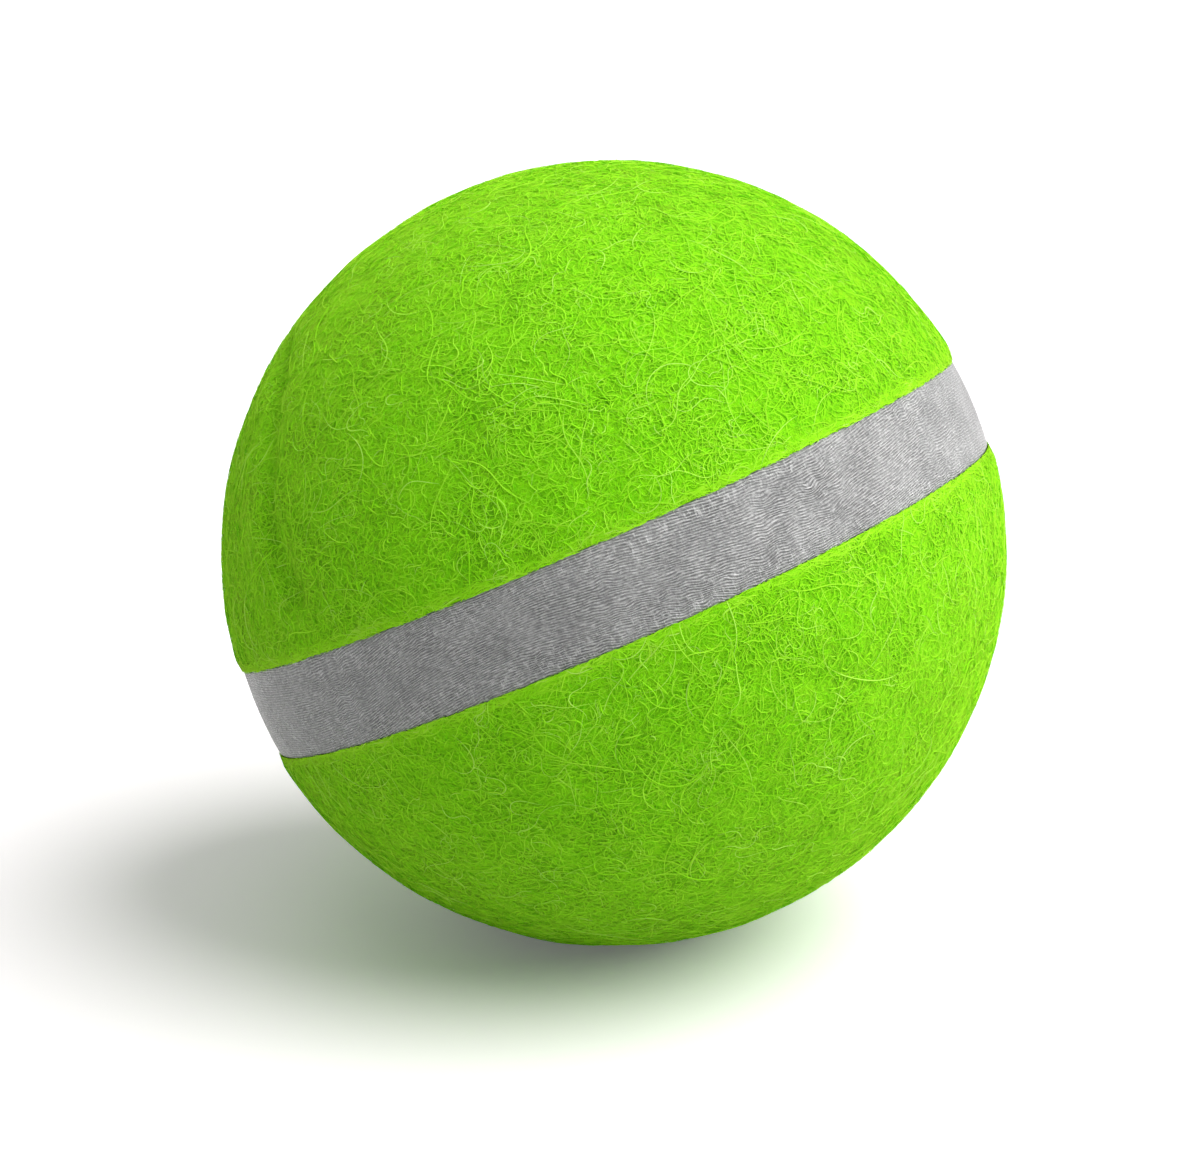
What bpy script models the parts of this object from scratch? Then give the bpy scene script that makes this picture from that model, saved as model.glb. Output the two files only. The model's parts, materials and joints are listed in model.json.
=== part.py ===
"""Self-rolling pet ball: two half shells in felt, a reflective band, and a geared pendulum drive inside.

Metres, +Z up. The ball rolls about +Y, and the origin is on the floor under its centre. The half shells close
along the band, whose plane leans at rest. The drive hangs upright on two axles that are pushed in through the
band's seat, so its weight stays low while the shell turns round it. Each gear centre lies in the XZ plane, and
the gears are stacked along Y from the drive axle's bush towards the motor. The drive's sizes follow the bowl.
"""

import math

import bmesh
import bpy
from mathutils import Vector
from mathutils.geometry import convex_hull_2d

# Fits
SEAT_GAP = 0.0003
RUNNING_GAP = 0.0003

# Felt ball and its band
BALL_RADIUS = 0.0425
FELT_THICKNESS = 0.0026
FELT_LIP = 0.0008
REST_FLAT = 0.0005
BAND_WIDTH = 0.0100
BAND_THICKNESS = 0.0006
BAND_RECESS = 0.0004
BAND_LEAN = math.radians(26.1)

# Half shells and their bayonet
SHELL_WALL = 0.0022
SHOULDER_THICKNESS = 0.0024
SPIGOT_HEIGHT = 0.0070
SPIGOT_WALL = 0.0016
GROOVE_WALL = 0.0014
LUG_COUNT = 3
LUG_SPAN = math.radians(18.0)
LUG_PLAY = math.radians(1.5)
LUG_DEPTH = 0.0010
LUG_THICKNESS = 0.0020
LUG_RISE = 0.0035
LOCK_TURN = math.radians(30.0)
SEAL_WIDTH = 0.0020
SEAL_THICKNESS = 0.0008

# Axles and their bushes
AXLE_RADIUS = 0.0020
AXLE_FLAT_DEPTH = 0.0006
AXLE_HEAD_SIZE = 0.0056
AXLE_HEAD_DEPTH = 0.0024
AXLE_BOSS_WALL = 0.0029
WASHER_RADIUS = 0.0036
WASHER_THICKNESS = 0.0015
BUSH_WALL = 0.0014
BUSH_LENGTH = 0.0065
BUSH_FLANGE_WIDTH = 0.0011
BUSH_FLANGE_THICKNESS = 0.0008
BUSH_BOSS_WALL = 0.0012

# Drive bowl and deck lid, and the bowl's inner radius that the sizes from here down are drawn for
DRAWN_BOWL_RADIUS = 0.030738
BOWL_CLEARANCE = 0.0006
BOWL_WALL = 0.0018
RIM_HEIGHT = 0.0090
DECK_THICKNESS = 0.0020
LID_BOSS_RADIUS = 0.0026
LID_BOSS_DEPTH = 0.0055
RIB_THICKNESS = 0.0010
RIB_HEIGHT = 0.0080
RIB_GRIP = 0.0020

# Gear train
GEAR_MODULE = 0.0005
PRESSURE_ANGLE = math.radians(25.0)
TOOTH_TIP = 0.8
TOOTH_ROOT = 1.0
TOOTH_THINNING = 0.00008
PINION_TEETH = 12
WHEEL_TEETH = 36
OUTPUT_TEETH = 30
GEAR_WIDTH = 0.0034
LAYER_GAP = 0.0005
SLEEVE_RADIUS = 0.0021
PIN_RADIUS = 0.0010
PLATE_THICKNESS = 0.0020
POST_RADIUS = 0.0017
POST_CLEARANCE = 0.0012
SECOND_GEAR_ANGLE = math.radians(205.0)
FIRST_GEAR_ANGLE = math.radians(-40.0)
MOTOR_ANGLE = math.radians(45.0)
UPPER_POST_ANGLE = math.radians(12.0)
POST_WALL_GAP = 0.0004

# Motor, battery and leads
MOTOR_RADIUS = 0.00775
MOTOR_FLATS = 0.0120
MOTOR_LENGTH = 0.0180
MOTOR_CAP_LENGTH = 0.0030
MOTOR_SHAFT_RADIUS = 0.0009
MOTOR_SCREW_PITCH = 0.0106
MOTOR_SCREW_TURN = math.radians(70.0)
TAB_SIZE = (0.0016, 0.0024, 0.0006)
TAB_SPACING = 0.0060
BATTERY_RADIUS = 0.0071
BATTERY_LENGTH = 0.0250
BATTERY_X = -0.0078
BATTERY_Z = -0.0084
BATTERY_NUB_RADIUS = 0.0025
BATTERY_NUB_HEIGHT = 0.0008
CRADLE_WIDTH = 0.0110
CRADLE_LENGTH = 0.0150
LEAD_RADIUS = 0.0005

# Board, its parts, and the button
BOARD_WIDTH = 0.0260
BOARD_LENGTH = 0.0260
BOARD_THICKNESS = 0.0016
BOARD_DROP = 0.0043
BOARD_Y = -0.0090
BOARD_POST_RADIUS = 0.0022
BOARD_POSTS = ((-0.0105, 0.0010), (0.0000, -0.0195))
SOCKET_SIZE = (0.0090, 0.0034, 0.0056)
SOCKET_WALL = 0.0004
SOCKET_TONGUE = (0.0064, 0.0007, 0.0040)
SOCKET_PLACE = (-0.0055, -0.0120)
SWITCH_SIZE = 0.0060
SWITCH_HEIGHT = 0.0022
SWITCH_PLACE = (0.0065, -0.0120)
BUTTON_RADIUS = 0.0034
BUTTON_FLANGE = 0.0008
BUTTON_STEM_RADIUS = 0.0014
BUTTON_PROUD = 0.0009
BUTTON_TRAVEL = 0.0006
LIGHT_RADIUS = 0.0014
LIGHT_PLACE = (0.0005, -0.0035)
SENSOR_RADIUS = 0.0021
SENSOR_HEIGHT = 0.0035
SENSOR_PLACE = (0.0090, -0.0190)
CHIP_SIZE = (0.0050, 0.0040, 0.0012)
CHIP_PLACE = (-0.0065, -0.0030)

# Screws
SCREW_RADIUS = 0.0008
SCREW_HEAD_RADIUS = 0.0016
SCREW_HEAD_HEIGHT = 0.0010
SCREW_RECESS_RADIUS = 0.0007
SCREW_RECESS_DEPTH = 0.0005
LID_SCREW_LENGTH = 0.0060
COVER_SCREW_LENGTH = 0.0060
MOTOR_SCREW_LENGTH = 0.0038
BOARD_SCREW_LENGTH = 0.0045

# Facets round a turn
BODY_SEGMENTS = 36
BAND_STEPS = 4
BOWL_SEGMENTS = 36
BOWL_RINGS = 8
SMALL_SEGMENTS = 16
SCREW_SEGMENTS = 8

# Turns that lay local Z along +Y or -Y
ALONG_Y = (-math.pi / 2, 0.0, 0.0)
AGAINST_Y = (math.pi / 2, 0.0, 0.0)


def ring_at(radius, height):
    """Radius of the circle that a sphere has at this height from its centre."""
    return math.sqrt(radius**2 - height**2)


def polar(centre, distance, angle):
    """Point at a distance and an angle from a centre."""
    return (centre[0] + distance * math.cos(angle), centre[1] + distance * math.sin(angle))


def meeting(centre, distance, reach):
    """Point to the right, at a distance from a centre and at a reach from the axle."""
    span = math.hypot(*centre)
    along = (reach**2 - distance**2 + span**2) / (2 * span)
    across = math.sqrt(reach**2 - along**2)
    x, z = centre[0] / span, centre[1] / span
    return (x * along - z * across, z * along + x * across)


# Radii of the layers, from the felt inwards
felt_inner = BALL_RADIUS - FELT_THICKNESS
shell_outer = felt_inner - SEAT_GAP
shell_inner = shell_outer - SHELL_WALL
band_outer = BALL_RADIUS - BAND_RECESS
band_inner = band_outer - BAND_THICKNESS
band_seat = band_inner - SEAT_GAP
ball_height = BALL_RADIUS - REST_FLAT

# Heights along the shell's own axis, from the ball's centre
shoulder = BAND_WIDTH / 2
seam = shoulder + SEAT_GAP
spigot_top = shoulder + SPIGOT_HEIGHT
collar_top = spigot_top + 2 * RUNNING_GAP
lug_bottom = shoulder + LUG_RISE
lug_top = lug_bottom + LUG_THICKNESS

# Radii of the closure
groove_radius = ring_at(shell_outer, spigot_top) - GROOVE_WALL
lug_radius = groove_radius - RUNNING_GAP
collar_bore = lug_radius - LUG_DEPTH
spigot_outer = collar_bore - RUNNING_GAP
spigot_inner = spigot_outer - SPIGOT_WALL
seal_middle = (groove_radius + ring_at(shell_outer, seam)) / 2
seal_inner = seal_middle - SEAL_WIDTH / 2
seal_outer = seal_middle + SEAL_WIDTH / 2

# Drive bowl inside the spigot
bowl_outer = spigot_inner - BOWL_CLEARANCE
bowl_inner = bowl_outer - BOWL_WALL


def to_bowl(size):
    """Size or place in the drive, taken from the bowl it is drawn for to the bowl that this ball holds."""
    if isinstance(size, tuple):
        return tuple(to_bowl(length) for length in size)
    return size * bowl_inner / DRAWN_BOWL_RADIUS


# Bushes, bowl and deck at this ball's size
bush_length = to_bowl(BUSH_LENGTH)
bush_flange_thickness = to_bowl(BUSH_FLANGE_THICKNESS)
rim_height = to_bowl(RIM_HEIGHT)
deck_thickness = to_bowl(DECK_THICKNESS)
lid_boss_radius = to_bowl(LID_BOSS_RADIUS)
lid_boss_depth = to_bowl(LID_BOSS_DEPTH)
rib_thickness = to_bowl(RIB_THICKNESS)
rib_height = to_bowl(RIB_HEIGHT)
rib_grip = to_bowl(RIB_GRIP)

# Gear train at this ball's size
gear_module = to_bowl(GEAR_MODULE)
tooth_thinning = to_bowl(TOOTH_THINNING)
gear_width = to_bowl(GEAR_WIDTH)
sleeve_radius = to_bowl(SLEEVE_RADIUS)
pin_radius = to_bowl(PIN_RADIUS)
plate_thickness = to_bowl(PLATE_THICKNESS)
post_radius = to_bowl(POST_RADIUS)
post_clearance = to_bowl(POST_CLEARANCE)

# Motor, battery and leads at this ball's size
motor_radius = to_bowl(MOTOR_RADIUS)
motor_flats = to_bowl(MOTOR_FLATS)
motor_length = to_bowl(MOTOR_LENGTH)
motor_cap_length = to_bowl(MOTOR_CAP_LENGTH)
motor_shaft_radius = to_bowl(MOTOR_SHAFT_RADIUS)
motor_screw_pitch = to_bowl(MOTOR_SCREW_PITCH)
tab_size = to_bowl(TAB_SIZE)
tab_spacing = to_bowl(TAB_SPACING)
battery_radius = to_bowl(BATTERY_RADIUS)
battery_length = to_bowl(BATTERY_LENGTH)
battery_x = to_bowl(BATTERY_X)
battery_z = to_bowl(BATTERY_Z)
battery_nub_radius = to_bowl(BATTERY_NUB_RADIUS)
battery_nub_height = to_bowl(BATTERY_NUB_HEIGHT)
cradle_width = to_bowl(CRADLE_WIDTH)
cradle_length = to_bowl(CRADLE_LENGTH)
lead_radius = to_bowl(LEAD_RADIUS)

# Board, its parts, and the button at this ball's size
board_width = to_bowl(BOARD_WIDTH)
board_length = to_bowl(BOARD_LENGTH)
board_thickness = to_bowl(BOARD_THICKNESS)
board_drop = to_bowl(BOARD_DROP)
board_y = to_bowl(BOARD_Y)
board_post_radius = to_bowl(BOARD_POST_RADIUS)
board_posts = to_bowl(BOARD_POSTS)
socket_size = to_bowl(SOCKET_SIZE)
socket_wall = to_bowl(SOCKET_WALL)
socket_tongue = to_bowl(SOCKET_TONGUE)
socket_place = to_bowl(SOCKET_PLACE)
switch_size = to_bowl(SWITCH_SIZE)
switch_height = to_bowl(SWITCH_HEIGHT)
switch_place = to_bowl(SWITCH_PLACE)
button_radius = to_bowl(BUTTON_RADIUS)
button_flange = to_bowl(BUTTON_FLANGE)
button_stem_radius = to_bowl(BUTTON_STEM_RADIUS)
button_proud = to_bowl(BUTTON_PROUD)
button_travel = to_bowl(BUTTON_TRAVEL)
light_radius = to_bowl(LIGHT_RADIUS)
light_place = to_bowl(LIGHT_PLACE)
sensor_radius = to_bowl(SENSOR_RADIUS)
sensor_height = to_bowl(SENSOR_HEIGHT)
sensor_place = to_bowl(SENSOR_PLACE)
chip_size = to_bowl(CHIP_SIZE)
chip_place = to_bowl(CHIP_PLACE)

# Screws at this ball's size
screw_radius = to_bowl(SCREW_RADIUS)
screw_head_radius = to_bowl(SCREW_HEAD_RADIUS)
screw_head_height = to_bowl(SCREW_HEAD_HEIGHT)
screw_recess_radius = to_bowl(SCREW_RECESS_RADIUS)
screw_recess_depth = to_bowl(SCREW_RECESS_DEPTH)
lid_screw_length = to_bowl(LID_SCREW_LENGTH)
cover_screw_length = to_bowl(COVER_SCREW_LENGTH)
motor_screw_length = to_bowl(MOTOR_SCREW_LENGTH)
board_screw_length = to_bowl(BOARD_SCREW_LENGTH)

# Bowl and deck heights
bowl_rim_angle = math.asin(rim_height / bowl_inner)
bowl_facet = math.cos(math.pi / BOWL_SEGMENTS) * math.cos((math.pi / 2 + bowl_rim_angle) / (2 * BOWL_RINGS))
bowl_space = bowl_inner * bowl_facet - SEAT_GAP
deck_bottom = rim_height + SEAT_GAP
deck_top = deck_bottom + deck_thickness
deck_radius = ring_at(bowl_outer, deck_top)

# Stack along the axle, from the outside inwards
head_outer = ring_at(band_seat, AXLE_HEAD_SIZE) - SEAT_GAP
head_inner = head_outer - AXLE_HEAD_DEPTH
axle_hole = AXLE_RADIUS + SEAT_GAP
axle_boss = AXLE_RADIUS + AXLE_BOSS_WALL
bush_face = bowl_outer
washer_inner_face = bush_face + RUNNING_GAP
washer_outer_face = washer_inner_face + WASHER_THICKNESS
boss_face = washer_outer_face + RUNNING_GAP
bush_inner = AXLE_RADIUS + RUNNING_GAP
bush_outer = bush_inner + BUSH_WALL
bush_hole = bush_outer + SEAT_GAP
bush_boss = bush_hole + BUSH_BOSS_WALL
bush_boss_end = bush_face - bush_length
flange_end = bush_boss_end - SEAT_GAP - bush_flange_thickness
cover_outer = flange_end - LAYER_GAP
cover_inner = cover_outer - plate_thickness
output_layer = (cover_inner - LAYER_GAP - gear_width, cover_inner - LAYER_GAP)
second_layer = (output_layer[0] - LAYER_GAP - gear_width, output_layer[0] - LAYER_GAP)
first_layer = (second_layer[0] - LAYER_GAP - gear_width, second_layer[0] - LAYER_GAP)
bulkhead_outer = first_layer[0] - LAYER_GAP
bulkhead_inner = bulkhead_outer - plate_thickness
motor_front = bulkhead_inner - SEAT_GAP
motor_back = motor_front - motor_length
motor_end = motor_back - SEAT_GAP - motor_cap_length
axle_end = output_layer[0] - SEAT_GAP

# Gear centres as (x, z) from the axle
wheel_tip = gear_module * (WHEEL_TEETH / 2 + TOOTH_TIP)
output_tip = gear_module * (OUTPUT_TEETH / 2 + TOOTH_TIP)
output_distance = gear_module * (OUTPUT_TEETH + PINION_TEETH) / 2
wheel_distance = gear_module * (WHEEL_TEETH + PINION_TEETH) / 2
OUTPUT_CENTRE = (0.0, 0.0)
second_centre = polar(OUTPUT_CENTRE, output_distance, SECOND_GEAR_ANGLE)
first_centre = polar(second_centre, wheel_distance, FIRST_GEAR_ANGLE)
motor_centre = polar(first_centre, wheel_distance, MOTOR_ANGLE)
cover_head_end = cover_outer + SEAT_GAP + screw_head_height
post_reach = ring_at(bowl_inner, cover_head_end) - screw_head_radius - POST_WALL_GAP
post_places = (
    polar(OUTPUT_CENTRE, output_tip + post_clearance + post_radius, UPPER_POST_ANGLE),
    meeting(first_centre, wheel_tip + post_clearance + post_radius, post_reach),
)
ballast_top = first_centre[1] - wheel_tip - LAYER_GAP
pin_bore = pin_radius + RUNNING_GAP
screw_hole = screw_radius + SEAT_GAP

# Heights of the board and of what stands on it
board_top = deck_bottom - board_drop
board_bottom = board_top - board_thickness
board_seat = board_top + SEAT_GAP
button_flange_top = deck_bottom - SEAT_GAP
button_flange_bottom = button_flange_top - button_flange
switch_top = board_seat + switch_height
stem_bottom = switch_top - button_flange

for old in list(bpy.data.objects):
    bpy.data.objects.remove(old, do_unlink=True)

parts = bpy.data.collections.new("pet_ball")
cutters = bpy.data.collections.new("pet_ball_cutters")
for group in (parts, cutters):
    bpy.context.scene.collection.children.link(group)


def frame(name, height, turn):
    """Empty that carries a group of pieces, at a height over the floor."""
    empty = bpy.data.objects.new(name, None)
    empty.location = (0.0, 0.0, height)
    empty.rotation_euler = turn
    parts.objects.link(empty)
    return empty


shell_frame = frame("shell_frame", ball_height, (0.0, -BAND_LEAN, 0.0))
drive_frame = frame("drive_frame", ball_height, (0.0, 0.0, 0.0))


def finish(name, colour, roughness, metallic=0.0):
    """Plain surface material."""
    made = bpy.data.materials.new(name)
    made.use_nodes = True
    shader = made.node_tree.nodes["Principled BSDF"]
    shader.inputs["Base Color"].default_value = (*colour, 1.0)
    shader.inputs["Roughness"].default_value = roughness
    shader.inputs["Metallic"].default_value = metallic
    return made


FELT = finish("lime_felt", (0.28, 0.60, 0.02), 1.0)
TAPE = finish("grey_tape", (0.36, 0.36, 0.36), 0.6)
SHELL = finish("white_shell", (0.78, 0.78, 0.76), 0.45)
BOWL = finish("graphite_bowl", (0.05, 0.05, 0.06), 0.5)
DECK = finish("pale_deck", (0.70, 0.71, 0.72), 0.45)
NYLON = finish("nylon_gear", (0.80, 0.77, 0.68), 0.4)
STEEL = finish("steel", (0.55, 0.55, 0.56), 0.3, 1.0)
BRASS = finish("brass", (0.72, 0.52, 0.22), 0.35, 1.0)
BRONZE = finish("bronze_bush", (0.50, 0.32, 0.18), 0.4, 1.0)
BLACK = finish("black_plastic", (0.02, 0.02, 0.02), 0.5)
SEAL = finish("grey_silicone", (0.20, 0.20, 0.21), 0.7)
CELL = finish("blue_sleeve", (0.05, 0.20, 0.55), 0.35)
GREEN_BOARD = finish("green_board", (0.02, 0.22, 0.08), 0.4)
BUTTON = finish("lime_button", (0.30, 0.62, 0.05), 0.4)
LENS = finish("clear_lens", (0.85, 0.90, 0.85), 0.15)
RED = finish("red_lead", (0.60, 0.03, 0.02), 0.45)


def place(obj, parent, home, location=(0.0, 0.0, 0.0), turn=(0.0, 0.0, 0.0)):
    """Put an object in one collection, under a frame."""
    for group in list(obj.users_collection):
        group.objects.unlink(obj)
    home.objects.link(obj)
    obj.parent = parent
    obj.location = location
    obj.rotation_euler = turn
    return obj


def part(obj, material, parent, location=(0.0, 0.0, 0.0), turn=(0.0, 0.0, 0.0)):
    """Make an object a finished piece."""
    obj.data.materials.clear()
    obj.data.materials.append(material)
    if obj.type == "MESH" and obj.data.polygons:
        obj.data.shade_smooth()
        obj.data.set_sharp_from_angle(angle=math.radians(35.0))
    return place(obj, parent, parts, location, turn)


def helper(obj, parent, location=(0.0, 0.0, 0.0), turn=(0.0, 0.0, 0.0)):
    """Make an object a hidden shape for joining or cutting."""
    obj.hide_render = True
    obj.display_type = "WIRE"
    return place(obj, parent, cutters, location, turn)


def join(obj, other, operation="UNION"):
    """Boolean of a piece with a hidden shape."""
    boolean = obj.modifiers.new(other.name, "BOOLEAN")
    boolean.operation = operation
    boolean.object = other


def cut(obj, other):
    """Take a hidden shape out of a piece."""
    join(obj, other, "DIFFERENCE")


def turned(name, profile, segments, closed=False):
    """Solid of revolution about local Z, from (radius, height) points that run down its outer side."""
    mesh = bpy.data.meshes.new(name)
    edges = [(i, i + 1) for i in range(len(profile) - 1)]
    if closed:
        edges.append((len(profile) - 1, 0))
    mesh.from_pydata([(r, 0.0, z) for r, z in profile], edges, [])
    obj = bpy.data.objects.new(name, mesh)
    screw = obj.modifiers.new("Turn", "SCREW")
    screw.axis = "Z"
    screw.angle = 2 * math.pi
    screw.steps = segments
    screw.render_steps = segments
    screw.use_merge_vertices = True
    screw.merge_threshold = 0.00001
    return obj


def tube_ring(name, inner, outer, bottom, top, segments):
    """Plain ring about local Z."""
    return turned(name, [(outer, top), (outer, bottom), (inner, bottom), (inner, top)], segments, True)


def box(name, size, centre):
    """Box of a full size about a centre, with its scale applied."""
    mesh = bpy.data.meshes.new(name)
    shape = bmesh.new()
    bmesh.ops.create_cube(shape, size=1.0)
    bmesh.ops.scale(shape, vec=Vector(size), verts=shape.verts)
    bmesh.ops.translate(shape, vec=Vector(centre), verts=shape.verts)
    shape.to_mesh(mesh)
    shape.free()
    return bpy.data.objects.new(name, mesh)


def rod(name, radius, bottom, top, segments=SMALL_SEGMENTS):
    """Cylinder along local Z between two heights."""
    mesh = bpy.data.meshes.new(name)
    shape = bmesh.new()
    bmesh.ops.create_cone(
        shape, cap_ends=True, segments=segments, radius1=radius, radius2=radius, depth=top - bottom
    )
    bmesh.ops.translate(shape, vec=Vector((0.0, 0.0, (top + bottom) / 2)), verts=shape.verts)
    shape.to_mesh(mesh)
    shape.free()
    return bpy.data.objects.new(name, mesh)


def plate(name, outlines, bottom, top):
    """Flat piece between two heights on local Z, from (x, y) outlines: the outside first, then its holes."""
    curve = bpy.data.curves.new(name + "_outline", "CURVE")
    curve.dimensions = "2D"
    curve.fill_mode = "BOTH"
    curve.extrude = (top - bottom) / 2
    for outline in outlines:
        spline = curve.splines.new("POLY")
        spline.points.add(len(outline) - 1)
        for point, (x, y) in zip(spline.points, outline):
            point.co = (x, y, 0.0, 1.0)
        spline.use_cyclic_u = True
    flat = bpy.data.objects.new(name + "_outline", curve)
    parts.objects.link(flat)
    bpy.context.view_layer.update()
    evaluated = flat.evaluated_get(bpy.context.evaluated_depsgraph_get())
    mesh = bpy.data.meshes.new_from_object(evaluated)
    mesh.name = name
    shape = bmesh.new()
    shape.from_mesh(mesh)
    bmesh.ops.remove_doubles(shape, verts=shape.verts, dist=0.000001)
    bmesh.ops.translate(shape, vec=Vector((0.0, 0.0, (top + bottom) / 2)), verts=shape.verts)
    shape.to_mesh(mesh)
    shape.free()
    obj = bpy.data.objects.new(name, mesh)
    obj.matrix_world = flat.matrix_world
    bpy.data.objects.remove(flat, do_unlink=True)
    return obj


def circle(centre, radius, count=SMALL_SEGMENTS):
    """Outline of a round hole or disc."""
    return [polar(centre, radius, 2 * math.pi * i / count) for i in range(count)]


def rectangle(centre, width, length):
    """Outline of a slot or board."""
    x, y = centre
    signs = ((-1, -1), (1, -1), (1, 1), (-1, 1))
    return [(x + sx * width / 2, y + sy * length / 2) for sx, sy in signs]


def sector(inner, outer, start, end):
    """Outline of part of a flat ring."""
    count = max(3, round((end - start) / math.radians(6.0)))
    angles = [start + (end - start) * i / count for i in range(count + 1)]
    outside = [polar((0.0, 0.0), outer, angle) for angle in angles]
    inside = [polar((0.0, 0.0), inner, angle) for angle in reversed(angles)]
    return outside + inside


def sphere_arc(radius, start, end, steps):
    """Profile of a sphere between two angles of latitude, as (radius, height)."""
    points = []
    for i in range(steps + 1):
        angle = start + (end - start) * i / steps
        points.append((max(0.0, radius * math.cos(angle)), radius * math.sin(angle)))
    return points


def cap_profile(radius, height, steps):
    """Profile of a sphere from its top down to a height."""
    return sphere_arc(radius, math.pi / 2, math.asin(height / radius), steps)


def mirrored(profile):
    """Profile turned upside down, still running down its outer side."""
    return [(r, -z) for r, z in reversed(profile)]


def felt_profile():
    """Upper cover's profile: outer dome, edge rolled in at the band, and inner dome."""
    lip_height = seam + FELT_LIP
    lip_radius = ring_at(BALL_RADIUS - FELT_LIP, lip_height)
    start = math.atan2(lip_height, lip_radius)
    outer = sphere_arc(BALL_RADIUS, math.pi / 2, start, 9)
    lip = []
    for i in range(1, 4):
        lip.append(polar((lip_radius, lip_height), FELT_LIP, start + (-math.pi / 2 - start) * i / 3))
    inner = list(reversed(cap_profile(felt_inner, seam, 7)))
    return outer + lip + inner


def band_arc(radius):
    """Profile of a sphere across the width of the band, from top to bottom."""
    edge = math.asin(shoulder / radius)
    return sphere_arc(radius, edge, -edge, BAND_STEPS)


def lower_shell_profile():
    """Lower half shell: inner dome, spigot, band seat and outer dome."""
    ledge = shoulder - SHOULDER_THICKNESS
    inside = sphere_arc(shell_inner, -math.pi / 2, math.asin(ledge / shell_inner), 6)
    closure = [
        (spigot_inner, ledge),
        (spigot_inner, spigot_top),
        (spigot_outer, spigot_top),
        (spigot_outer, shoulder),
    ]
    outside = sphere_arc(shell_outer, -math.asin(shoulder / shell_outer), -math.pi / 2, 7)
    return inside + closure + band_arc(band_seat) + outside


def upper_shell_profile():
    """Upper half shell: outer dome, rim, collar bore and inner dome."""
    outside = cap_profile(shell_outer, seam, 7)
    inside = list(reversed(cap_profile(shell_inner, collar_top, 6)))
    return outside + [(collar_bore, seam), (collar_bore, collar_top)] + inside


def build_covers():
    """Felt covers and the band between them."""
    upper = turned("upper_felt", felt_profile(), BODY_SEGMENTS)
    part(upper, FELT, shell_frame)
    lower = turned("lower_felt", mirrored(felt_profile()), BODY_SEGMENTS)
    part(lower, FELT, shell_frame)
    side = 2 * BALL_RADIUS
    floor = box("floor_cutter", (side, side, side), (0.0, 0.0, -side / 2))
    cut(lower, helper(floor, None))
    profile = band_arc(band_outer) + list(reversed(band_arc(band_inner)))
    band = turned("reflective_band", profile, BODY_SEGMENTS, True)
    part(band, TAPE, shell_frame)


def build_shells():
    """Half shells with the bayonet, the axle bosses and the seal."""
    lower = turned("lower_shell", lower_shell_profile(), BODY_SEGMENTS)
    part(lower, SHELL, shell_frame)
    upper = turned("upper_shell", upper_shell_profile(), BODY_SEGMENTS)
    part(upper, SHELL, shell_frame)
    boss_end = shell_outer - SHELL_WALL / 2
    boss = rod("axle_boss_shape", axle_boss, boss_face, boss_end)
    join(lower, helper(boss, shell_frame, turn=ALONG_Y))
    boss = rod("idler_boss_shape", axle_boss, boss_face, boss_end)
    join(lower, helper(boss, shell_frame, turn=AGAINST_Y))
    notch_radius = WASHER_RADIUS + SEAT_GAP
    for name, turn in (("drive", ALONG_Y), ("idler", AGAINST_Y)):
        notch = rod(name + "_notch_cutter", notch_radius, bowl_inner, boss_face)
        cut(lower, helper(notch, shell_frame, turn=turn))
        bore = rod(name + "_bore_cutter", axle_hole, bowl_inner, BALL_RADIUS)
        cut(lower, helper(bore, shell_frame, turn=turn))
    recess_floor = head_inner - SEAT_GAP
    recess_size = AXLE_HEAD_SIZE + 2 * SEAT_GAP
    depth = BALL_RADIUS - recess_floor
    square = box(
        "drive_head_cutter", (recess_size, depth, recess_size), (0.0, recess_floor + depth / 2, 0.0)
    )
    cut(lower, helper(square, shell_frame))
    round_head = rod("idler_head_cutter", recess_size / 2, recess_floor, BALL_RADIUS)
    cut(lower, helper(round_head, shell_frame, turn=AGAINST_Y))
    for i in range(LUG_COUNT):
        middle = 2 * math.pi * i / LUG_COUNT
        start = middle - LUG_SPAN / 2
        end = middle + LUG_SPAN / 2
        root = spigot_outer - SPIGOT_WALL / 2
        lug = plate(f"lug_shape_{i + 1}", [sector(root, lug_radius, start, end)], lug_bottom, lug_top)
        join(lower, helper(lug, shell_frame))
        groove_bottom = lug_bottom - RUNNING_GAP
        groove_top = lug_top + RUNNING_GAP
        locked = sector(root, groove_radius, start - LUG_PLAY - LOCK_TURN, end + LUG_PLAY)
        groove = plate(f"groove_cutter_{i + 1}", [locked], groove_bottom, groove_top)
        cut(upper, helper(groove, shell_frame))
        entry = sector(root, groove_radius, start - LUG_PLAY, end + LUG_PLAY)
        slot = plate(f"entry_cutter_{i + 1}", [entry], shoulder, (groove_bottom + groove_top) / 2)
        cut(upper, helper(slot, shell_frame))
    groove_floor = shoulder - SEAL_THICKNESS - SEAT_GAP
    seal_groove = tube_ring(
        "seal_groove_cutter", seal_inner - SEAT_GAP, seal_outer + SEAT_GAP, groove_floor, seam, BODY_SEGMENTS
    )
    cut(lower, helper(seal_groove, shell_frame))
    seal = tube_ring(
        "sealing_ring", seal_inner, seal_outer, shoulder - SEAL_THICKNESS, shoulder, BODY_SEGMENTS
    )
    part(seal, SEAL, shell_frame)


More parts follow.
